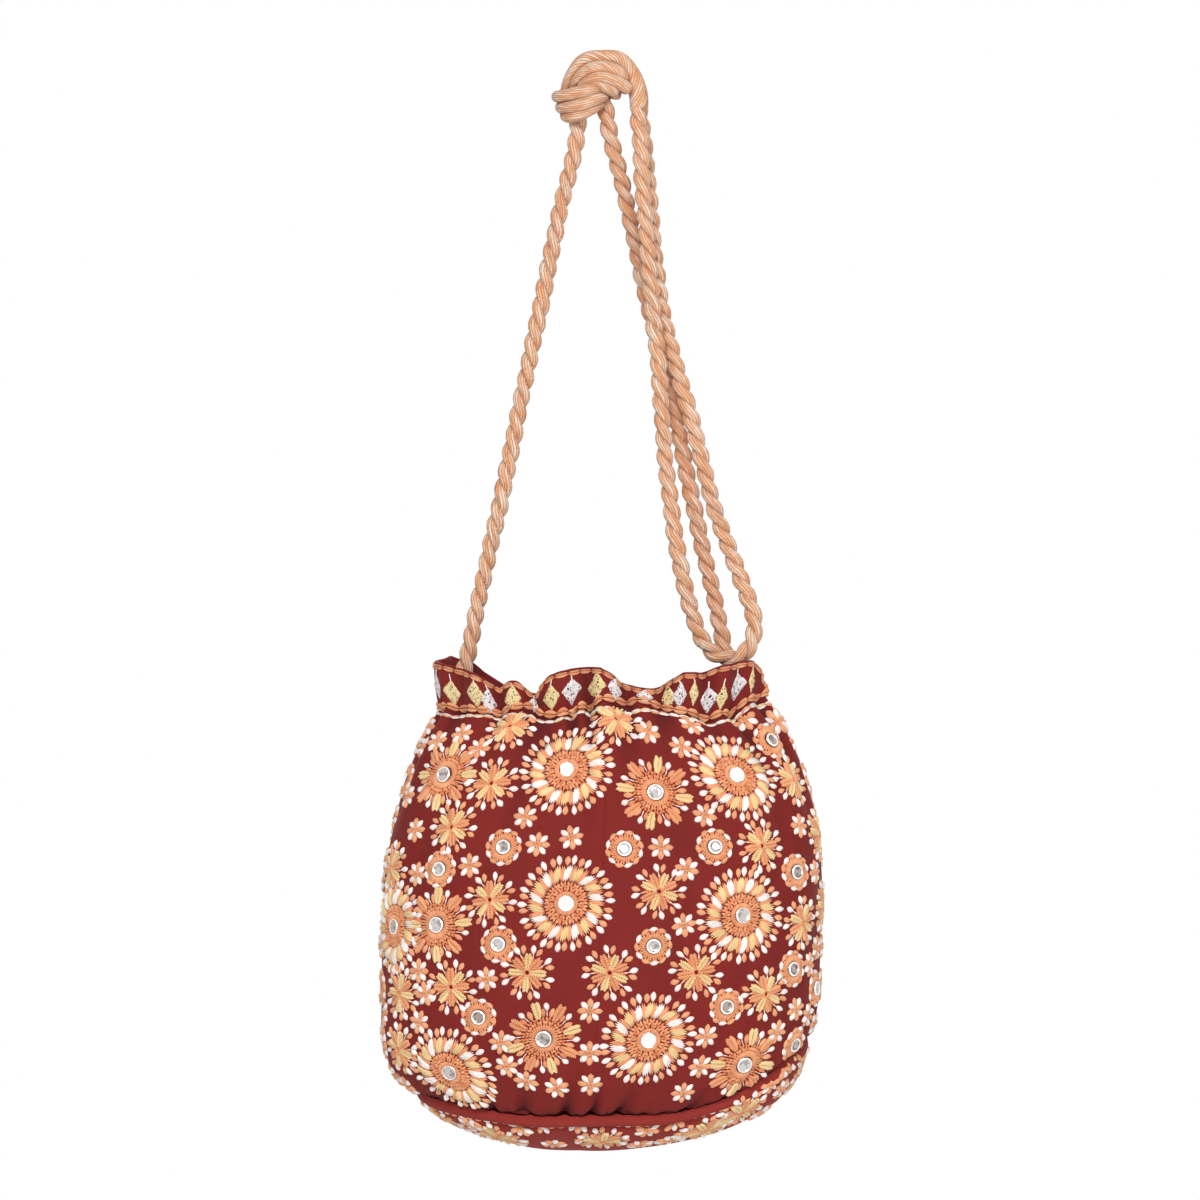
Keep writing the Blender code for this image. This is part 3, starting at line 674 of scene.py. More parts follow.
class Nodes:
    """A short way to build the nodes of a material or of the world."""

    def __init__(self, owner, shader):
        owner.use_nodes = True
        self.owner = owner
        self.tree = owner.node_tree
        self.shader = self.tree.nodes[shader]

    def set(self, node, inputs):
        for key, value in inputs.items():
            socket = node.inputs[key.replace("_", " ") if isinstance(key, str) else key]
            if isinstance(value, bpy.types.NodeSocket):
                self.tree.links.new(value, socket)
            elif isinstance(value, tuple) and len(value) == 3 and socket.type == "RGBA":
                socket.default_value = (*value, 1.0)
            else:
                socket.default_value = value

    def add(self, kind, inputs=None, **settings):
        node = self.tree.nodes.new(kind)
        for key, value in settings.items():
            setattr(node, key, value)
        self.set(node, inputs or {})
        return node

    def math(self, operation, first, second=0.0):
        return self.add("ShaderNodeMath", {0: first, 1: second}, operation=operation).outputs[0]

    def mix(self, share, first, second):
        return self.add("ShaderNodeMix", {0: share, 6: first, 7: second}, data_type="RGBA").outputs[2]

    def ramp(self, value, low, high, at_low, at_high):
        """What a value becomes when it goes evenly from one pair of ends to another."""
        ends = {1: low, 2: high, 3: at_low, 4: at_high}
        return self.add("ShaderNodeMapRange", {0: value, **ends}).outputs[0]

    def noise(self, vector, scale, detail):
        inputs = {"Vector": vector, "Scale": scale, "Detail": detail}
        return self.add("ShaderNodeTexNoise", inputs).outputs["Fac"]

    def stretch(self, vector, x, y):
        return self.add("ShaderNodeMapping", {"Vector": vector, "Scale": (x, y, 1.0)}).outputs[0]

    def uv(self):
        return self.add("ShaderNodeUVMap", uv_map="uv").outputs[0]

    def along_and_across(self):
        """The two numbers of the UV, one by one."""
        return self.add("ShaderNodeSeparateXYZ", {0: self.uv()}).outputs[:2]

    def tint(self):
        return self.add("ShaderNodeAttribute", attribute_name="tint").outputs["Fac"]

    def paint(self, colour, height=None, distance=0.0, strength=1.0):
        """Gives the shader its colour and relief, and returns the material."""
        self.set(self.shader, {"Base Color": colour})
        if height is not None:
            relief = {"Height": height, "Distance": distance, "Strength": strength}
            self.set(self.shader, {"Normal": self.add("ShaderNodeBump", relief).outputs[0]})
        return self.owner


def material(name, **inputs):
    n = Nodes(bpy.data.materials.new(name), "Principled BSDF")
    n.set(n.shader, inputs)
    return n


def cotton(name, colour, shade):
    """Plain-woven cotton: threads both ways, with slubs and a little unevenness. UVs are metres.

    Its tint is painted shade: the deeper in a fold a place lies, the more its colour goes towards the shade
    colour."""
    n = material(name, Roughness=0.85, Specular_IOR_Level=0.2, Sheen_Weight=0.10, Sheen_Roughness=0.45,
                 Sheen_Tint=SHEEN_RED)
    uv = n.uv()
    warp = n.noise(n.stretch(uv, *THREAD_GRAIN), 1.0, 1.0)
    weft = n.noise(n.stretch(uv, *THREAD_GRAIN[::-1]), 1.0, 1.0)
    threads = n.math("MULTIPLY", warp, weft)
    fine = n.ramp(threads, 0.12, 0.40, 0.22, 0.0)
    wide = n.ramp(n.noise(uv, 22.0, 3.0), 0.35, 0.70, 0.16, 0.0)
    # painted shade in the folds, from the tint
    painted_fold_shade = n.ramp(n.tint(), 0.05, 1.0, 0.0, 0.60)
    share = n.math("ADD", n.math("ADD", fine, wide), painted_fold_shade)
    return n.paint(n.mix(share, colour, shade), threads, 0.0004, 0.6)


def thread(name, colour, deep):
    """Stranded cotton thread. UVs are metres along and across a stitch, tint is each stitch's own. The
    grooves between strands get painted shade.
    """
    n = material(name, Roughness=0.52, Specular_IOR_Level=0.35, Sheen_Weight=0.2)
    _, across = n.along_and_across()
    strands = n.math("SINE", n.math("MULTIPLY", across, TURN / STRAND_WIDTH))
    fibres = n.noise(n.stretch(n.uv(), 900.0, 7000.0), 1.0, 1.0)
    height = n.math("ADD", n.math("MULTIPLY", strands, 0.5), fibres)
    # painted shade in the grooves between strands
    groove = n.ramp(strands, -1.0, 0.0, 0.34, 0.0)
    own = n.ramp(n.tint(), 0.0, 1.0, 0.26, 0.0)
    return n.paint(n.mix(n.math("ADD", groove, own), colour, deep), height, 0.00022, 0.8)


def lace(name, colour, dark):
    """A diamond of net stitch: pale loops of thread, with painted shade in the gaps towards its middle and
    in parts of its loops.
    """
    n = material(name, Roughness=0.6)
    uv = n.uv()
    cells = n.add("ShaderNodeTexVoronoi", {"Vector": uv, "Scale": 620.0}, feature="DISTANCE_TO_EDGE")
    gaps = n.ramp(cells.outputs[0], 0.15, 0.26, 0.0, 1.0)
    some = n.ramp(n.noise(uv, 520.0, 1.0), 0.44, 0.52, 0.0, 1.0)
    middle = n.ramp(n.tint(), 0.20, 0.55, 0.0, 1.0)
    # the net's holes are darkened with painted shade
    hole = n.math("MULTIPLY", n.math("MULTIPLY", gaps, some), middle)
    loops = n.noise(uv, 1500.0, 2.0)
    shadow = n.mix(n.ramp(loops, 0.35, 0.6, 0.35, 0.0), colour, tuple(0.55 * c for c in colour))
    height = n.math("SUBTRACT", loops, n.math("MULTIPLY", gaps, 0.8))
    return n.paint(n.mix(hole, shadow, dark), height, 0.0005, 0.9)


def rope_finish(name):
    """Variegated yarn. u runs along the ply in metres, v counts its yarns. Its tint is painted shade, 1
    between plies.
    """
    n = material(name, Roughness=0.55, Specular_IOR_Level=0.35, Sheen_Weight=0.15)
    along, yarns = n.along_and_across()
    own = n.math("MULTIPLY", n.math("FLOOR", yarns), 1.3)
    place = n.add("ShaderNodeCombineXYZ", {0: n.math("MULTIPLY", along, 95.0), 1: own})
    dye = n.add("ShaderNodeValToRGB", {0: n.noise(place.outputs[0], 1.0, 3.0)})
    stops = dye.color_ramp.elements
    stops[0].position, stops[0].color = 0.34, (*ROPE_MID, 1.0)
    stops[1].position, stops[1].color = 0.64, (*ROPE_PALE, 1.0)
    stops.new(0.47).color = (*ROPE_LIGHT, 1.0)

    def gaps(count, start, depth):
        """Painted shade in lines between yarns, or between the strands that a yarn is split into."""
        within = n.math("FRACT", n.math("MULTIPLY", yarns, count))
        edge = n.math("ABSOLUTE", n.math("SUBTRACT", within, 0.5))
        return n.ramp(edge, start, 0.5, 0.0, depth)

    groove, fine = gaps(1.0, 0.24, 0.85), gaps(2.0, 0.34, 0.30)
    # deep: painted shade between plies and in the lines between yarns
    deep = n.math("MAXIMUM", n.math("MULTIPLY", n.tint(), 0.85), n.math("MAXIMUM", groove, fine))
    lines = n.math("ADD", n.math("MULTIPLY", groove, 0.9), n.math("MULTIPLY", fine, 0.6))
    fibres = n.noise(n.stretch(n.uv(), 500.0, 14.0), 1.0, 2.0)
    relief = n.math("SUBTRACT", fibres, lines)
    return n.paint(n.mix(deep, dye.outputs[0], ROPE_DEEP), relief, 0.0006, 0.8)


def mirror_finish():
    """Hand-cut mirror. Its tint goes from a clear white one to a grey one with darker mottled patches; the
    grey is a painted dim reflection.
    """
    n = material("mirror with painted dim reflection", Metallic=1.0, Roughness=0.08)
    patches = n.ramp(n.noise(n.uv(), 330.0, 3.0), 0.50, 0.60, 0.0, 0.85)
    clear = n.mix(n.tint(), MIRROR_WHITE, MIRROR_DIM_REFLECTION)
    return n.paint(n.mix(n.math("MULTIPLY", patches, n.tint()), clear, MIRROR_DARK))


FINISHES = {
    "cloth": cotton("maroon cotton", MAROON, MAROON_SHADE),
    "base": cotton("maroon base cotton", MAROON_BASE, MAROON),
    "frill": cotton("maroon frill cotton", MAROON, MAROON_SHADE),
    "lining": cotton("dark lining cotton", LINING_MAROON, (0.04, 0.005, 0.008)),
    "orange": thread("orange thread", ORANGE, ORANGE_DEEP),
    "rust": thread("rust thread", RUST, ORANGE_DEEP),
    "white": thread("white thread", WHITE, (0.70, 0.56, 0.48)),
    "yellow": thread("pale yellow thread", YELLOW, (0.66, 0.42, 0.15)),
    # the dark colours below are the painted shade in the nets' holes
    "silver": lace("silver net stitch", SILVER, (0.05, 0.02, 0.02)),
    "gold": lace("yellow net stitch", GOLD, (0.08, 0.03, 0.01)),
    "rope": rope_finish("peach rope yarn"),
    "mirror": mirror_finish(),
}


# The cloth pieces

def outer_cloth(name, look, grid, on_base):
    """A piece of the outer bag: the embroidered tube, or the sagging base with its UVs from above."""
    columns, rows = grid
    share = np.arange(columns) / columns
    start = seam_at(share) + BASE_LAP if on_base else np.zeros(columns)
    end = TIP_RUN if on_base else seam_at(share)
    run = start + np.linspace(0, 1, rows)[:, None] * (end - start)
    wide = np.broadcast_to(share, run.shape)
    points = bag.at(wide, run)
    uv = points[..., :2] if on_base else np.stack([wide * BODY_CUT[0], run], axis=-1)
    faces = grid_faces(rows, columns, flip=True)
    # The tint is the painted shade of the folds.
    return add_mesh(name, points, faces, FINISHES[look], uv, bag.shade_at(wide, run))


def lining_cloth(name, rows, on_base):
    """A piece of the inner bag, a little inside the outer one: its tube or its oval base."""
    share = np.arange(LINING_COLUMNS) / LINING_COLUMNS
    seam = seam_at(share)
    t = np.linspace(0, 1, rows)[:, None]
    run = seam + t * (TIP_RUN - seam) if on_base else t * seam
    deep = LINING_INSET + 0.0080 * np.exp(-run / 0.022) + 0.0056 * bell(run - seam, 0.034)
    wrinkle = 0.0008 * smooth_noise(2 * share, 3 * run, 11)
    wide = np.broadcast_to(share, run.shape)
    hung = bag_plain.at(wide, run, -(deep + np.abs(wrinkle)))
    sewn = bag.at(wide, run, np.full(run.shape, -0.0012))
    points = hung + (sewn - hung) * np.exp(-run / 0.010)[..., None]
    uv = np.stack([wide * 0.6, run], axis=-1)
    faces = grid_faces(rows, LINING_COLUMNS)
    return add_mesh(name, points, faces, FINISHES["lining"], uv, np.zeros(run.size))


def frill_cloth():
    """The frill, folded over at its rim into an outer and an inner face."""
    share = np.arange(FRILL_COLUMNS) / FRILL_COLUMNS
    up = np.linspace(0, 1, 12)
    rows = [frill_face.at(share, np.full(FRILL_COLUMNS, 1 - u)) for u in up]
    rim = frill_face.at(share, np.zeros(FRILL_COLUMNS))
    inward = frill_face.at(share, np.zeros(FRILL_COLUMNS), -FRILL_CLOTH) - rim
    for a in np.linspace(0, math.pi, 6)[1:-1]:
        lift = np.array([0.0, 0.0, FRILL_CLOTH / 2 * math.sin(a)])
        rows.append(rim + inward * (1 - math.cos(a)) / 2 + lift)
    rows += [frill_face.at(share, np.full(FRILL_COLUMNS, 1 - u), -FRILL_CLOTH) for u in up[::-1]]
    points = np.array(rows)
    depth = running_total(np.linalg.norm(np.diff(points, axis=0), axis=2).mean(axis=1))
    uv = np.stack(np.broadcast_arrays(share * 0.5, depth[:, None]), axis=-1)
    # The painted crease shade, the same on both faces of the frill.
    shade = np.broadcast_to(frill_face.shade_at(share, np.full(FRILL_COLUMNS, 0.5)), points.shape[:2])
    return add_mesh("bag_frill", points, grid_faces(len(rows), FRILL_COLUMNS), FINISHES["frill"], uv, shade)


# The stitches

class Stitches:
    """Stitches of one thread, gathered into one mesh."""

    def __init__(self):
        self.points, self.quads, self.uv, self.tint, self.count = [], [], [], [], 0

    def add(self, points, quads, uv, tint):
        points = points.reshape(-1, 3)
        self.points.append(points)
        self.quads.append(quads + self.count)
        self.uv.append(uv.reshape(-1, 2))
        self.tint.append(np.broadcast_to(tint, len(points)))
        self.count += len(points)

    def mesh(self, name, finish):
        return add_mesh(
            name, np.concatenate(self.points), np.concatenate(self.quads), finish,
            np.concatenate(self.uv), np.concatenate(self.tint),
        )


WIDTHS = {
    "leaf": lambda t: np.sin(math.pi * t) ** 0.70,
    "drop": lambda t: np.sin(math.pi * t**1.25) ** 0.62,
    "rod": lambda t: (1 - np.abs(2 * t - 1) ** 5) ** 0.5,
    "tail": lambda t: (1 - np.abs(2 * t - 1) ** 8) ** 0.5,
}


def stitch(plan, start, end, width, height, along, across):
    """One stitch from start to end on a flat cloth: points (across, up, out), quads and UVs."""
    start, end = np.array(start), np.array(end)
    length = np.linalg.norm(end - start)
    axis = (end - start) / length
    side = np.array([axis[1], -axis[0]])
    t = (1 - np.cos(np.linspace(0, math.pi, along + 1))) / 2
    s = np.linspace(-1, 1, across + 1)
    wide = WIDTHS[plan](np.clip(t, 0.004, 0.996))
    tt, ss = np.meshgrid(t, s, indexing="ij")
    ww = np.broadcast_to(wide[:, None], tt.shape)
    flat = start + tt[..., None] * (end - start) + (ss * ww * width / 2)[..., None] * side
    out = height * np.sqrt(unit(1 - ss**2)) * ww**0.6 - SINK
    points = np.concatenate([flat, out[..., None]], axis=-1).reshape(-1, 3)
    uv = np.stack([tt * length, ss * ww * width / 2], axis=-1).reshape(-1, 2)
    return points, grid_faces(along + 1, across + 1, closed=False), uv


def polar(radius, angle):
    return (radius * math.sin(angle), radius * math.cos(angle))


def radial(radius, angle, aside):
    """A place beside the ray at an angle."""
    sine, cosine = math.sin(angle), math.cos(angle)
    return (radius * sine + aside * cosine, radius * cosine - aside * sine)


class Motif:
    """A motif on flat cloth: stitches by thread, and the mirror in its middle."""

    # How grey the mirror is drawn, from 0 to 1, is a painted dim reflection.
    def __init__(self, radius, glass=0.0, rim=0.0, painted_dimming=0.0):
        self.radius = radius
        self.glass = glass
        self.rim = rim
        self.painted_dimming = painted_dimming
        self.parts = []

    def add(self, colour, plan, start, end, width, height, along=6, across=4):
        width *= rng.uniform(0.92, 1.08)
        shape = stitch(plan, start, end, width, height, along, across)
        self.parts.append((colour, *shape, rng.uniform(0, 1)))

    def rays(self, colours, plan, count, inner, outer, width, height, start=0.0, slant=0.0, **detail):
        """Stitches that point outwards all the way round."""
        for i in range(count):
            angle = TURN * (i + start) / count + rng.uniform(-0.15, 0.15) / count
            first = polar(inner, angle)
            last = polar(outer * rng.uniform(0.98, 1.02), angle + slant)
            self.add(colours[i % len(colours)], plan, first, last, width, height, **detail)

    def links(self, colours, plan, count, radius, length, width, height, tilt=0.0, start=0.0, **detail):
        """Stitches that follow each other round a circle."""
        for i in range(count):
            angle = TURN * (i + start) / count + rng.uniform(-0.10, 0.10) / count
            half = length / 2 / radius
            a = polar(radius - tilt, angle - half)
            b = polar(radius + tilt, angle + half)
            self.add(colours[i % len(colours)], plan, a, b, width, height, **detail)

    def feather(self, colour, angle, inner, outer, width, height, strands=7):
        """A petal of short strands that lean out from its middle line, so its edge is serrated."""
        own = rng.uniform(0, 1)
        outer = outer * rng.uniform(0.98, 1.02)
        for k in range(strands):
            t = (k + 0.4) / strands
            middle = inner + (outer - inner) * t * 0.92
            half = max(width / 2 * math.sin(math.pi * (0.12 + 0.80 * t)) ** 0.55, width * 0.26)
            half *= rng.uniform(0.92, 1.08)
            for side in (-1, 1):
                start = radial(middle - (outer - inner) * 0.07, angle, -side * 0.0001)
                end = radial(middle + half * math.tan(PETAL_LEAN), angle, side * half)
                points, quads, uv = stitch("rod", start, end, 0.00128, height, 3, 3)
                self.parts.append((colour, points, quads, uv, own * 0.7 + rng.uniform(0, 0.3)))

    def bundle(self, colour, angle, inner, outer, width, height, strands=4, skew=0.0):
        """A fat stitch of several strands side by side, each a little ahead of the next."""
        own = rng.uniform(0, 1)
        length = (outer - inner) * rng.uniform(0.97, 1.03)
        for k in range(strands):
            side = (k - (strands - 1) / 2) / strands
            trim = abs(side) * length * 0.34
            ahead = side * length * 0.24
            start = radial(inner + trim + ahead, angle, side * width * 0.80 - skew * length / 2)
            end = radial(inner + length - trim + ahead, angle, side * width * 1.05 + skew * length / 2)
            points, quads, uv = stitch("leaf", start, end, width / strands * 1.42, height, 6, 3)
            self.parts.append((colour, points, quads, uv, own * 0.6 + rng.uniform(0, 0.4)))

    def braid(self, colours, count, inner, outer, spread, width, height, start=0.0):
        """Crochet that goes round: pairs of strands in Vs, with small gaps between them."""
        for i in range(count):
            angle = TURN * (i + start) / count + rng.uniform(-0.12, 0.12) / count
            for side in (-1, 1):
                turn = side * spread * math.pi / count
                colour = colours[(2 * i + side) % len(colours)]
                first = polar(inner, angle + 0.25 * turn)
                last = polar(outer * rng.uniform(0.98, 1.02), angle + turn)
                self.add(colour, "leaf", first, last, width, height * rng.uniform(0.85, 1.1), 5, 3)


def sunburst():
    m = Motif(SUNBURST_RADIUS, glass=0.0043)
    m.rays(["orange"], "rod", 34, 0.0040, 0.0068, 0.00125, 0.0019, slant=0.10, along=4, across=3)
    m.braid(["orange", "orange", "rust"], 15, 0.0064, 0.0093, 0.62, 0.0017, 0.0017)
    m.braid(["orange", "rust", "orange"], 19, 0.0088, 0.0120, 0.62, 0.0018, 0.0016, start=0.5)
    m.links(["orange", "rust"], "leaf", 19, 0.0092, 0.0026, 0.0013, 0.0019)
    for i in range(18):
        angle = TURN * i / 18 + rng.uniform(-0.02, 0.02)
        colour = "yellow" if i % 2 else "white"
        between = angle + math.pi / 18
        m.bundle("orange", between, 0.0114, 0.0210, 0.0031, 0.0016, 3, rng.uniform(-0.1, 0.1))
        m.bundle(colour, angle, 0.0115, 0.0211, 0.0044, 0.0023, 4, rng.uniform(0.02, 0.22))
        tip = polar(SUNBURST_RADIUS * 1.01, between - 0.03)
        m.add("white", "drop", polar(0.0208, between - 0.05), tip, 0.0035, 0.0019)
        tip = polar(SUNBURST_RADIUS * 0.98, angle)
        m.add("orange", "drop", polar(0.0203, angle - 0.03), tip, 0.0034, 0.0017)
    return m


def dim_mirror_sunburst():
    m = sunburst()
    # its mirror is drawn grey, a painted dim reflection
    m.rim, m.painted_dimming = 0.0005, 0.8
    return m


def mirror_flower():
    m = Motif(FLOWER_RADIUS, glass=0.0045, rim=0.0008, painted_dimming=0.7)
    m.rays(["orange"], "rod", 32, 0.0046, 0.0083, 0.00140, 0.0021, slant=0.12, along=4, across=3)
    m.braid(["orange", "orange", "rust"], 18, 0.0078, 0.0104, 0.62, 0.0017, 0.0018)
    m.braid(["orange", "rust"], 20, 0.0100, 0.0122, 0.66, 0.0016, 0.0015, start=0.5)
    for i in range(8):
        angle = TURN * i / 8 + rng.uniform(-0.05, 0.05)
        m.feather("orange" if i % 2 else "yellow", angle, 0.0112, 0.0207, 0.0052, 0.0019)
        angle += math.pi / 8
        m.add("white", "tail", polar(0.0118, angle), polar(0.0158, angle - 0.05), 0.0007, 0.0009, 3, 2)
        m.add("white", "drop", polar(0.0152, angle - 0.04), polar(0.0198, angle - 0.09), 0.0034, 0.0019)
        m.add("orange", "drop", polar(0.0116, angle + 0.13), polar(0.0174, angle + 0.16), 0.0032, 0.0016)
        m.add("rust", "drop", polar(0.0118, angle - 0.15), polar(0.0166, angle - 0.19), 0.0028, 0.0014)
    return m


def mirror_ring():
    m = Motif(RING_RADIUS, glass=0.0041, rim=0.0010, painted_dimming=0.85)
    m.rays(["orange"], "rod", 30, 0.0042, 0.0073, 0.00135, 0.0020, slant=0.12, along=4, across=3)
    m.braid(["rust", "orange"], 16, 0.0066, 0.0083, 0.60, 0.0014, 0.0015)
    m.links(["white", "orange"], "drop", 12, 0.0094, 0.0052, 0.0028, 0.0017, tilt=0.0003, along=7, across=5)
    return m


def star():
    m = Motif(STAR_RADIUS)
    for i in range(8):
        angle = TURN * i / 8 + rng.uniform(-0.06, 0.06)
        tip = polar(STAR_RADIUS * 0.96, angle - 0.15)
        m.add("white", "drop", polar(0.0102, angle - 0.06), tip, 0.0034, 0.0019)
        tip = polar(STAR_RADIUS * 0.94, angle + 0.19)
        m.add("orange", "drop", polar(0.0100, angle + 0.12), tip, 0.0032, 0.0017)
        m.add("white", "tail", polar(0.0062, angle), polar(0.0108, angle - 0.04), 0.0007, 0.0009, 3, 2)
        m.add("rust", "drop", polar(0.0040, angle + 0.03), polar(0.0092, angle + 0.03), 0.0018, 0.0011)
    for i in range(8):
        angle = TURN * (i + 0.5) / 8 + rng.uniform(-0.05, 0.05)
        m.feather("orange" if i % 2 else "yellow", angle, 0.0018, 0.0108, 0.0041, 0.0019, 6)
    m.links(["orange"], "rod", 7, 0.0020, 0.0019, 0.0016, 0.0024, along=4, across=3)
    return m


def daisy():
    m = Motif(DAISY_RADIUS)
    m.rays(["orange", "white"], "drop", 8, 0.0013, DAISY_RADIUS + 0.0003, 0.0035, 0.0019, along=7, across=5)
    m.rays(["orange"], "drop", 6, 0.0, 0.0023, 0.0018, 0.0025, along=3, across=3)
    return m


MAKERS = {
    "sunburst": sunburst, "dim_mirror_sunburst": dim_mirror_sunburst, "flower": mirror_flower,
    "ring": mirror_ring, "star": star, "daisy": daisy,
}


def front_places(points_px):
    """Where on the surface each pixel of the front lands, as (share, run)."""
    shares = np.linspace(-0.25, 0.25, 401)
    runs = np.linspace(0, TIP_RUN, 400)
    ss, rr = np.meshgrid(shares, runs)
    across, down = seen_at(bag_plain.at(ss, rr))
    found = []
    for px, py in points_px:
        miss = (across - px) ** 2 + (down - py) ** 2
        j, i = np.unravel_index(np.argmin(miss), miss.shape)
        found.append((float(shares[i]), float(runs[j])))
    return found


class Embroidery:
    """All the stitches on the bag, and the places that are taken."""

    def __init__(self):
        names = ("orange", "orange_behind", "rust", "white", "yellow")
        self.threads = {name: Stitches() for name in names}
        self.mirrors = Stitches()
        self.taken = []

    def clear_of(self, share, run, radius, overlap=0.92):
        here = bag_plain.at(np.array([share]), np.array([run]))[0]
        return all(np.linalg.norm(here - p) > overlap * (radius + r) for p, r in self.taken)

    def sew(self, kind, share, run, below=False):
        """Sews a motif above or below the seam. Stitches that would cross it are left out."""
        motif = MAKERS[kind]()
        self.taken.append((bag_plain.at(np.array([share]), np.array([run]))[0], motif.radius))
        spin = rng.uniform(-0.35, 0.35)
        cosine, sine = math.cos(spin), math.sin(spin)
        for colour, points, quads, uv, tint in motif.parts:
            x = points[:, 0] * cosine - points[:, 1] * sine
            y = points[:, 0] * sine + points[:, 1] * cosine
            runs = run - y
            shares = share + x / np.interp(runs, bag.rows, bag.round)
            seam = seam_at(shares)
            if not below and np.any(runs > seam - 0.0012):
                continue
            if below and np.any(runs < seam + BASE_STRIP * facing_out(shares, 0.2)):
                continue
            if np.any(runs < 0.0015) or np.any(runs > TIP_RUN - 0.0008):
                continue
            placed = bag.at(shares, runs, points[:, 2])
            if colour == "orange" and placed[:, 1].mean() > 0:
                colour = "orange_behind"
            self.threads[colour].add(placed, quads, uv, tint)
        if motif.glass:
            self.set_mirror(share, run, motif)

    def set_mirror(self, share, run, motif):
        """A round mirror that lies flat on the cloth, tips a little its own way and has a pale rim."""
        inner = 1 - motif.rim / motif.glass
        sides = 28
        rings = (0.0, 0.5 * inner, 0.98 * inner, inner, 0.5 + 0.5 * inner, 1.0)
        drops = (0.0, 0.0, 0.0, 0.0002, 0.00035, -0.0004)
        silvered = (1.0, 1.0, 1.0, 0.0, 0.0, 0.0) if motif.rim else (1.0,) * 6
        # How grey this mirror is drawn: a painted dim reflection.
        shade = motif.painted_dimming * rng.uniform(0.6, 1.15)
        middle = bag.at(np.array([share]), np.array([run]))[0]
        out = bag_plain.at(np.array([share]), np.array([run]), np.array([1.0]))[0]
        out = out - bag_plain.at(np.array([share]), np.array([run]))[0]
        out = out + rng.normal(0, 0.035, 3)
        out /= np.linalg.norm(out)
        right = np.cross(np.array([0.0, 0.0, 1.0]), out)
        right /= np.linalg.norm(right)
        up = np.cross(out, right)
        points, uv, tint = [], [], []
        for ring, drop, silver in zip(rings, drops, silvered):
            for k in range(sides):
                a = TURN * k / sides
                radius = motif.glass * ring
                tint.append(shade * silver)
                x, y = radius * math.cos(a), radius * math.sin(a)
                points.append(middle + right * x + up * y + out * (0.0014 + drop))
                uv.append((x + 7.3 * share, y + 3.1 * run))
        self.mirrors.add(np.array(points), grid_faces(len(rings), sides), np.array(uv), np.array(tint))

    def sew_both_sides(self, kind, places, **limits):
        radius = MAKERS[kind]().radius
        for share, run in places:
            self.sew(kind, share, run, **limits)
        for share, run in places:
            behind = 0.5 - share
            if self.clear_of(behind, run, radius):
                self.sew(kind, behind, run, **limits)

    def fill(self, kind, first, last, runs, spacing=1.04, step=0.004):
        """Sews a motif wherever one still fits between two shares."""
        radius = MAKERS[kind]().radius
        for run in runs:
            for share in np.arange(first, last, step):
                if run + radius * 0.6 < seam_at(share) and self.clear_of(share, run, radius, spacing):
                    self.sew(kind, share, run)


def sew_bag():
    work = Embroidery()
    for kind, points_px in (
        ("sunburst", SUNBURSTS_PX), ("dim_mirror_sunburst", DIM_MIRROR_SUNBURSTS_PX),
        ("flower", MIRROR_FLOWERS_PX), ("ring", MIRROR_RINGS_PX), ("star", STARS_PX), ("daisy", DAISIES_PX),
    ):
        work.sew_both_sides(kind, front_places(points_px))
    for first, last in SIDES:
        work.fill("ring", first, last, (0.045, 0.16, 0.19))
        work.fill("star", first, last, np.arange(0.02, 0.24, 0.008))
        work.fill("daisy", first, last, np.arange(0.012, 0.24, 0.006))
    work.fill("star", *BACK, np.arange(0.02, 0.20, 0.010))
    work.fill("daisy", *BACK, np.arange(0.012, 0.22, 0.008), 1.16)
    work.sew_both_sides("star", front_places(BASE_STARS_PX), below=True)
    work.sew_both_sides("daisy", front_places(BASE_DAISIES_PX), below=True)
    for kind in ("star", "daisy"):
        radius = MAKERS[kind]().radius
        for down in (0.009, 0.020, 0.030, 0.042):
            for share in np.arange(0.13, 0.88, 0.006):
                run = float(seam_at(share)) + down
                if run < TIP_RUN - 0.012 and work.clear_of(share, run, radius, 1.0):
                    work.sew(kind, share, run, below=True)
    return work


def sew_line(threads, colours, places, length, width, height, sheet, gap, strands):
    """Stitches one after another along a line of (share, row) places, each of one or two strands."""
    shares, rows = places
    run = running_total(steps_between(sheet.at(shares, rows)))
    count = int(run[-1] / length)
    edges = np.linspace(0, run[-1], count + 1)
    s = np.linspace(-1, 1, 5)
    for k in range(count):
        for side in range(strands):
            t = np.linspace(0, edges[k + 1] - gap - edges[k], 7) + rng.uniform(-0.04, 0.04) * length
            wide = WIDTHS["leaf"](np.linspace(0.01, 0.99, 7))
            tt, ss = np.meshgrid(t, s, indexing="ij")
            ww = np.broadcast_to(wide[:, None], tt.shape)
            aside = (side - (strands - 1) / 2) * width * 0.50 * ww**0.5
            across = aside + ss * ww * width / (2 * strands**0.85)
            share = np.interp(edges[k] + tt, run, shares)
            row = np.interp(edges[k] + tt, run, rows)
            if sheet is not bag:
                across = across / frill_height(share)
            out = height * np.sqrt(1 - ss**2) * ww**0.5 - SINK
            points = sheet.at(share, np.clip(row + across, 0, sheet.rows[-1]), out)
            uv = np.stack([tt, ss * ww * width / 2], axis=-1)
            colour = colours[(k + side) % len(colours)]
            threads[colour].add(points, grid_faces(7, 5, closed=False), uv, rng.uniform(0, 1))


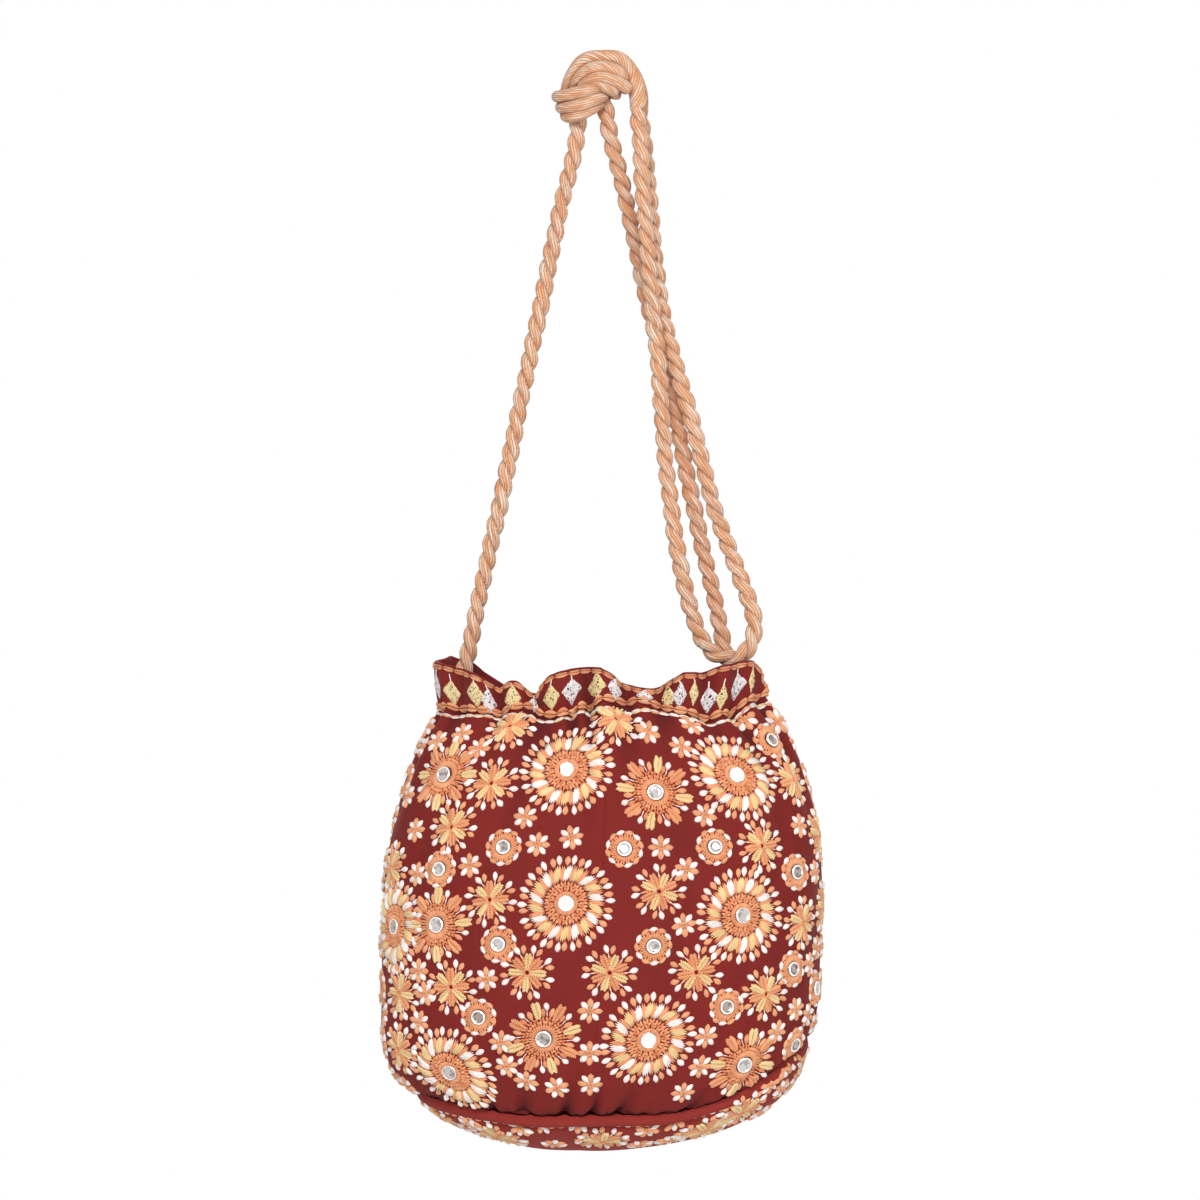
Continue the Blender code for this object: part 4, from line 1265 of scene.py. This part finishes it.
def sew_rows(work):
    """The chain stitch along the rim and the neck, and the thin lines below the neck and the seam."""
    shares = np.linspace(0, 1, 1600)
    height = frill_height(shares)
    rim, foot = 0.0010 / height, 1 - 0.0024 / height
    line = 0.0030 + 0.0012 * np.sin(TURN * 9 * shares)
    fringe = seam_at(shares) + BASE_STRIP * 1.02
    pale = ["white", "orange", "white", "white", "yellow"]
    for colours, row, length, width, out, sheet, gap, strands in (
        (["rust", "orange", "orange"], rim, CHAIN_LINK, 0.0034, 0.0014, frill_face, 0.0001, 2),
        (["orange", "orange", "rust"], foot, CHAIN_LINK, 0.0044, 0.0018, frill_face, -0.0004, 2),
        (pale, line, 0.0056, 0.0021, 0.0013, bag, -0.0012, 2),
        (["white", "orange", "rust"], fringe, 0.0052, 0.0016, 0.0010, bag, 0.0012, 1),
    ):
        sew_line(work.threads, colours, (shares, row), length, width, out, sheet, gap, strands)


def frill_diamonds():
    """Diamonds of net stitch round the frill, each with a short thread from its top."""
    nets = {"silver": Stitches(), "gold": Stitches()}
    tips = Stitches()
    across_px, _ = seen_at(frill_face.at(SHARES, np.full(COLUMNS, 0.5)))
    front = np.cos(TURN * SHARES) > 0.03
    order = np.argsort(across_px[front])
    seen_px = across_px[front][order]
    seen_shares = np.where(SHARES > 0.5, SHARES - 1, SHARES)[front][order]
    places = []
    for px, py, wide, colour in DIAMONDS_PX:
        share = float(np.interp(px, seen_px, seen_shares))
        height = float(frill_height(share))
        top = float(frill_face.at(share, 0.0)[2])
        level = -(py - HANG_PX[1]) * PIXEL
        places.append((share, min(max((top - level) / height, 0.45), 0.60), wide, colour))
    for k in range(BACK_DIAMONDS):
        share = 0.27 + 0.46 * (k + 0.5) / BACK_DIAMONDS
        places.append((share, 0.5, 0.95, "gold" if k % 2 else "silver"))
    around = frill_face.round.mean()
    for k, (share, middle, wide, colour) in enumerate(places):
        height = float(frill_height(share))
        side = np.linspace(-1, 1, 11)
        a, b = np.meshgrid(side, side, indexing="ij")
        across, up = (a + b) / 2, (a - b) / 2
        bulge = 1 + 0.30 * (1 - np.abs(a)) ** 0.5 * (1 - np.abs(b)) ** 0.5
        ragged = 1 + 0.05 * rng.uniform(-1, 1, a.shape)
        across, up = across * bulge * ragged * wide, up * bulge * ragged
        edge = np.minimum(1 - np.abs(a), 1 - np.abs(b))
        half_up = min(DIAMOND_HALF[1], height * 0.47)
        lean = rng.uniform(-0.25, 0.25)
        row = middle - up * half_up / height
        out = 0.0010 * unit(edge * 4) - SINK + 0.00016 * rng.uniform(-1, 1, edge.shape)
        shares = share + (across * DIAMOND_HALF[0] + lean * up * half_up * 0.3) / around
        uv = np.stack([across * DIAMOND_HALF[0] + 0.1 * k, up * half_up], axis=-1)
        centred = unit(1.25 - 1.1 * np.hypot(across / wide, up))
        faces = grid_faces(len(side), len(side), closed=False)
        nets[colour].add(frill_face.at(shares, row, out), faces, uv, centred.ravel())
        t, s = np.meshgrid(np.linspace(0, 1, 5), np.linspace(-1, 1, 3), indexing="ij")
        row = middle - half_up / height * (0.85 + 0.45 * t)
        shares = share + (s * 0.0004 + rng.uniform(-0.002, 0.002) * t) / around
        points = frill_face.at(shares, np.clip(row, 0.06, 1), 0.0006 * np.sqrt(1 - s**2) - 0.0001)
        uv = np.stack([t * 0.004, s * 0.0004], axis=-1)
        tips.add(points, grid_faces(5, 3, closed=False), uv, 0.8)
    return nets["silver"], nets["gold"], tips


# The rope

def smooth_line(points, step):
    """Points step apart on a smooth curve through a route's own points."""
    p = np.array(points)
    p = np.vstack([2 * p[0] - p[1], p, 2 * p[-1] - p[-2]])
    fine = []
    for a, b, c, d in zip(p, p[1:], p[2:], p[3:]):
        t = np.linspace(0, 1, 40, endpoint=False)[:, None]
        square, cube = 2 * a - 5 * b + 4 * c - d, 3 * b - a - 3 * c + d
        fine.append(0.5 * (2 * b + (c - a) * t + square * t**2 + cube * t**3))
    fine = np.vstack([*fine, p[-2]])
    run = running_total(steps_between(fine))
    at = np.linspace(0, run[-1], max(6, round(run[-1] / step)) + 1)
    return np.stack([np.interp(at, run, fine[:, k]) for k in range(3)], axis=1), at


def frames_along(line):
    """Two directions across a line that turn as little as they can."""
    along = np.gradient(line, axis=0)
    along /= np.linalg.norm(along, axis=1, keepdims=True)
    first = np.zeros_like(line)
    side = np.cross(along[0], [0.0, 1.0, 0.0])
    side /= np.linalg.norm(side)
    for i, a in enumerate(along):
        side = side - a * side.dot(a)
        side /= np.linalg.norm(side)
        first[i] = side
    return first, np.cross(along, first)


def ply(line, run, radius, centre_radius, start, lay, yarns, twist, sides=36, lumps=1.0):
    """One ply that winds round a line, as points, UVs and quads."""
    first, second = frames_along(line)
    wind = start - TURN * run / lay
    middle = line + centre_radius * (np.cos(wind)[:, None] * first + np.sin(wind)[:, None] * second)
    f1, f2 = frames_along(middle)
    angle = TURN * np.arange(sides) / sides
    lobes = yarns * (angle[None, :] - (twist * run)[:, None]) / TURN
    bump = 1 + YARN_RELIEF * (np.abs(np.sin(math.pi * lobes)) - 0.6)
    uneven = 1 + lumps * (0.05 * np.sin(run / 0.0071 + start) + 0.04 * np.sin(run / 0.0173 + 2 * start))
    ends = unit(np.minimum(run, run[-1] - run) / (0.7 * radius))
    uneven *= np.sqrt(1 - (1 - ends) ** 2) * 0.98 + 0.02
    size = radius * bump * uneven[:, None]
    ring = np.cos(angle)[:, None] * f1[:, None, :] + np.sin(angle)[:, None] * f2[:, None, :]
    points = middle[:, None, :] + size[..., None] * ring
    uv = np.stack([np.broadcast_to(run[:, None] + start, lobes.shape), lobes + 40], axis=-1)
    return points.reshape(-1, 3), grid_faces(len(line), sides, flip=True), uv.reshape(-1, 2)


def twisted_rope(name, route, shade=0.0):
    """Two-ply rope along a route, and the points of its middle line. Its tint is painted shade: 1 between
    the plies, and at least the shade given all over.
    """
    strands = Stitches()
    line, run = smooth_line(route, ROPE_STEP)
    winding = ROPE / 2 - ROPE_PLY + 0.0001
    for start in (0.0, math.pi):
        points, quads, uv = ply(line, run, ROPE_PLY, winding, start, ROPE_LAY, YARNS, 60.0)
        out = np.linalg.norm(points.reshape(len(line), -1, 3) - line[:, None, :], axis=2).ravel()
        tint = shade + (1 - shade) * unit((PLY_GAP - out) / PLY_GAP_FADE)
        strands.add(points, quads, uv, tint)
    return strands.mesh(name, FINISHES["rope"]), smooth_line(route, PATH_STEP)[0]


def knot_turns():
    """The knot: loose bundles of yarn that wind over each other. Its tint is painted shade, 1 between two
    bundles.
    """
    lines = [smooth_line(route, KNOT_STEP) for _, _, route in KNOT_TURNS]
    strands = Stitches()
    for i, (radius, twist, route) in enumerate(KNOT_TURNS):
        line, run = lines[i]
        start = 10 * radius + route[0][0]
        points, quads, uv = ply(line, run, radius, 0.0, start, 1.0, KNOT_YARNS, twist, KNOT_SIDES, 1.7)
        gap = np.full(len(points), 1.0)
        for j, (other, _) in enumerate(lines):
            if j != i:
                apart = np.linalg.norm(points[:, None, :] - other[None, ::2, :], axis=2).min(axis=1)
                gap = np.minimum(gap, apart - KNOT_TURNS[j][0])
        strands.add(points, quads, uv, unit((0.0016 - gap) / 0.0015))
    return strands.mesh("rope_knot", FINISHES["rope"])


def knot_core():
    """What fills the knot behind its turns."""
    (cx, cy, cz), (rx, ry, rz) = KNOT_CORE
    rows, columns = 24, 36
    polar_angle = np.linspace(0.05, math.pi - 0.05, rows)[:, None]
    round_angle = (TURN * np.arange(columns) / columns)[None, :]
    points = np.stack([
        cx + rx * np.sin(polar_angle) * np.cos(round_angle),
        cy + ry * np.sin(polar_angle) * np.sin(round_angle),
        cz + rz * np.cos(polar_angle) * np.ones_like(round_angle),
    ], axis=-1)
    uv = np.stack(np.broadcast_arrays(polar_angle * 0.02, round_angle * 2), axis=-1)
    return add_mesh("knot_core", points, grid_faces(rows, columns, flip=True), FINISHES["rope"], uv)


# Putting it together

def node_names(prefix):
    return [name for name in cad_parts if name.startswith(prefix)]


body = outer_cloth("bag_body", "cloth", BODY_GRID, False)
base = outer_cloth("bag_base", "base", BASE_GRID, True)
lining_tube = lining_cloth("lining_tube", 80, False)
lining_base = lining_cloth("lining_base", 20, True)
frill = frill_cloth()
work = sew_bag()
sew_rows(work)
threads = {
    name: batch.mesh(f"{name}_stitches", FINISHES[name.split("_")[0]])
    for name, batch in work.threads.items()
}
mirrors = work.mirrors.mesh("mirrors", FINISHES["mirror"])
silver, gold, tips = frill_diamonds()
silver_diamonds = silver.mesh("silver_diamonds", FINISHES["silver"])
gold_diamonds = gold.mesh("yellow_diamonds", FINISHES["gold"])
diamond_threads = tips.mesh("diamond_threads", FINISHES["white"])
left_leg, left_path = twisted_rope("rope_left_leg", LEFT_LEG)
# the right leg hangs behind and gets painted shade all along
right_leg, right_path = twisted_rope("rope_right_leg", RIGHT_LEG, RIGHT_LEG_SHADE)
loop, loop_path = twisted_rope("rope_loop", LOOP)
knot = knot_turns()
core = knot_core()
core.parent = knot

for piece, slot in (
    (body, "body_cloth"), (base, "base_cloth"), (lining_tube, "lining_cloth"),
    (lining_base, "lining_cloth"), (frill, "frill_cloth"), (threads["orange"], "orange_thread"),
    (threads["orange_behind"], "orange_thread"), (threads["rust"], "orange_thread"),
    (threads["white"], "cream_thread"), (threads["yellow"], "cream_thread"),
    (mirrors, "mirror_glass"), (silver_diamonds, "cream_thread"), (gold_diamonds, "cream_thread"),
    (diamond_threads, "cream_thread"), (left_leg, "rope"), (right_leg, "rope"),
    (loop, "rope"), (knot, "rope"),
):
    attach(piece, "root")
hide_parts("outer_body")
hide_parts("base_panel")
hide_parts("lining")
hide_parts("frill")
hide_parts("neck_chain_stitch", "rim_chain_stitch", *node_names("mirror_ring"))
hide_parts("side_sunburst", *node_names("sunburst"), *node_names("mirror_flower"))
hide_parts("strap_left_leg")
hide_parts("strap_right_leg")
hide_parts("strap_loop")
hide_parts("strap_knot")


# Camera, light and backdrop

def add_camera():
    data = bpy.data.cameras.new("photo_camera")
    data.sensor_width = SENSOR_MM
    data.lens = SENSOR_MM * CAMERA_DISTANCE / (PHOTO_SIZE_PX * PIXEL)
    camera = link(bpy.data.objects.new("photo_camera", data))
    camera.location = camera_place()
    camera.rotation_euler = (math.pi / 2, 0.0, 0.0)
    bpy.context.scene.camera = camera


def add_lamp(name, place, size, power):
    """A round lamp that is aimed at the bag's neck."""
    data = bpy.data.lights.new(name, "AREA")
    data.shape = "DISK"
    data.size = size
    data.energy = power
    lamp = link(bpy.data.objects.new(name, data))
    lamp.location = place
    aim = Vector((AXIS_X, 0.0, NECK_Z)) - Vector(place)
    lamp.rotation_euler = aim.to_track_quat("-Z", "Y").to_euler()


def show_white(n, glow_kind, output):
    """Lets the camera, mirrors and glass see plain white in place of a shader, which still gives light."""
    rays = n.add("ShaderNodeLightPath").outputs
    seen = n.math("MAXIMUM", rays["Is Camera Ray"], rays["Is Glossy Ray"])
    seen = n.math("MAXIMUM", seen, rays["Is Transmission Ray"])
    glow = n.add(glow_kind, {"Color": PURE_WHITE, "Strength": 1.0})
    both = n.add("ShaderNodeMixShader", {0: seen, 1: n.shader.outputs[0], 2: glow.outputs[0]})
    n.set(n.tree.nodes[output], {"Surface": both.outputs[0]})


def add_room():
    floor_look = material("pale floor", Roughness=0.9, Base_Color=FLOOR_GREY)
    show_white(floor_look, "ShaderNodeEmission", "Material Output")
    corners = [(x, y, FLOOR_Z) for x, y in FLOOR_CORNERS]
    add_mesh("floor", corners, [(0, 1, 2, 3)], floor_look.owner, smooth=False)
    world = Nodes(bpy.data.worlds.new("studio"), "Background")
    bpy.context.scene.world = world.owner
    world.set(world.shader, {"Color": PURE_WHITE, "Strength": WORLD_LIGHT})
    show_white(world, "ShaderNodeBackground", "World Output")


add_camera()
for lamp in LAMPS:
    add_lamp(*lamp)
add_room()
bpy.context.scene.view_settings.view_transform = "Standard"
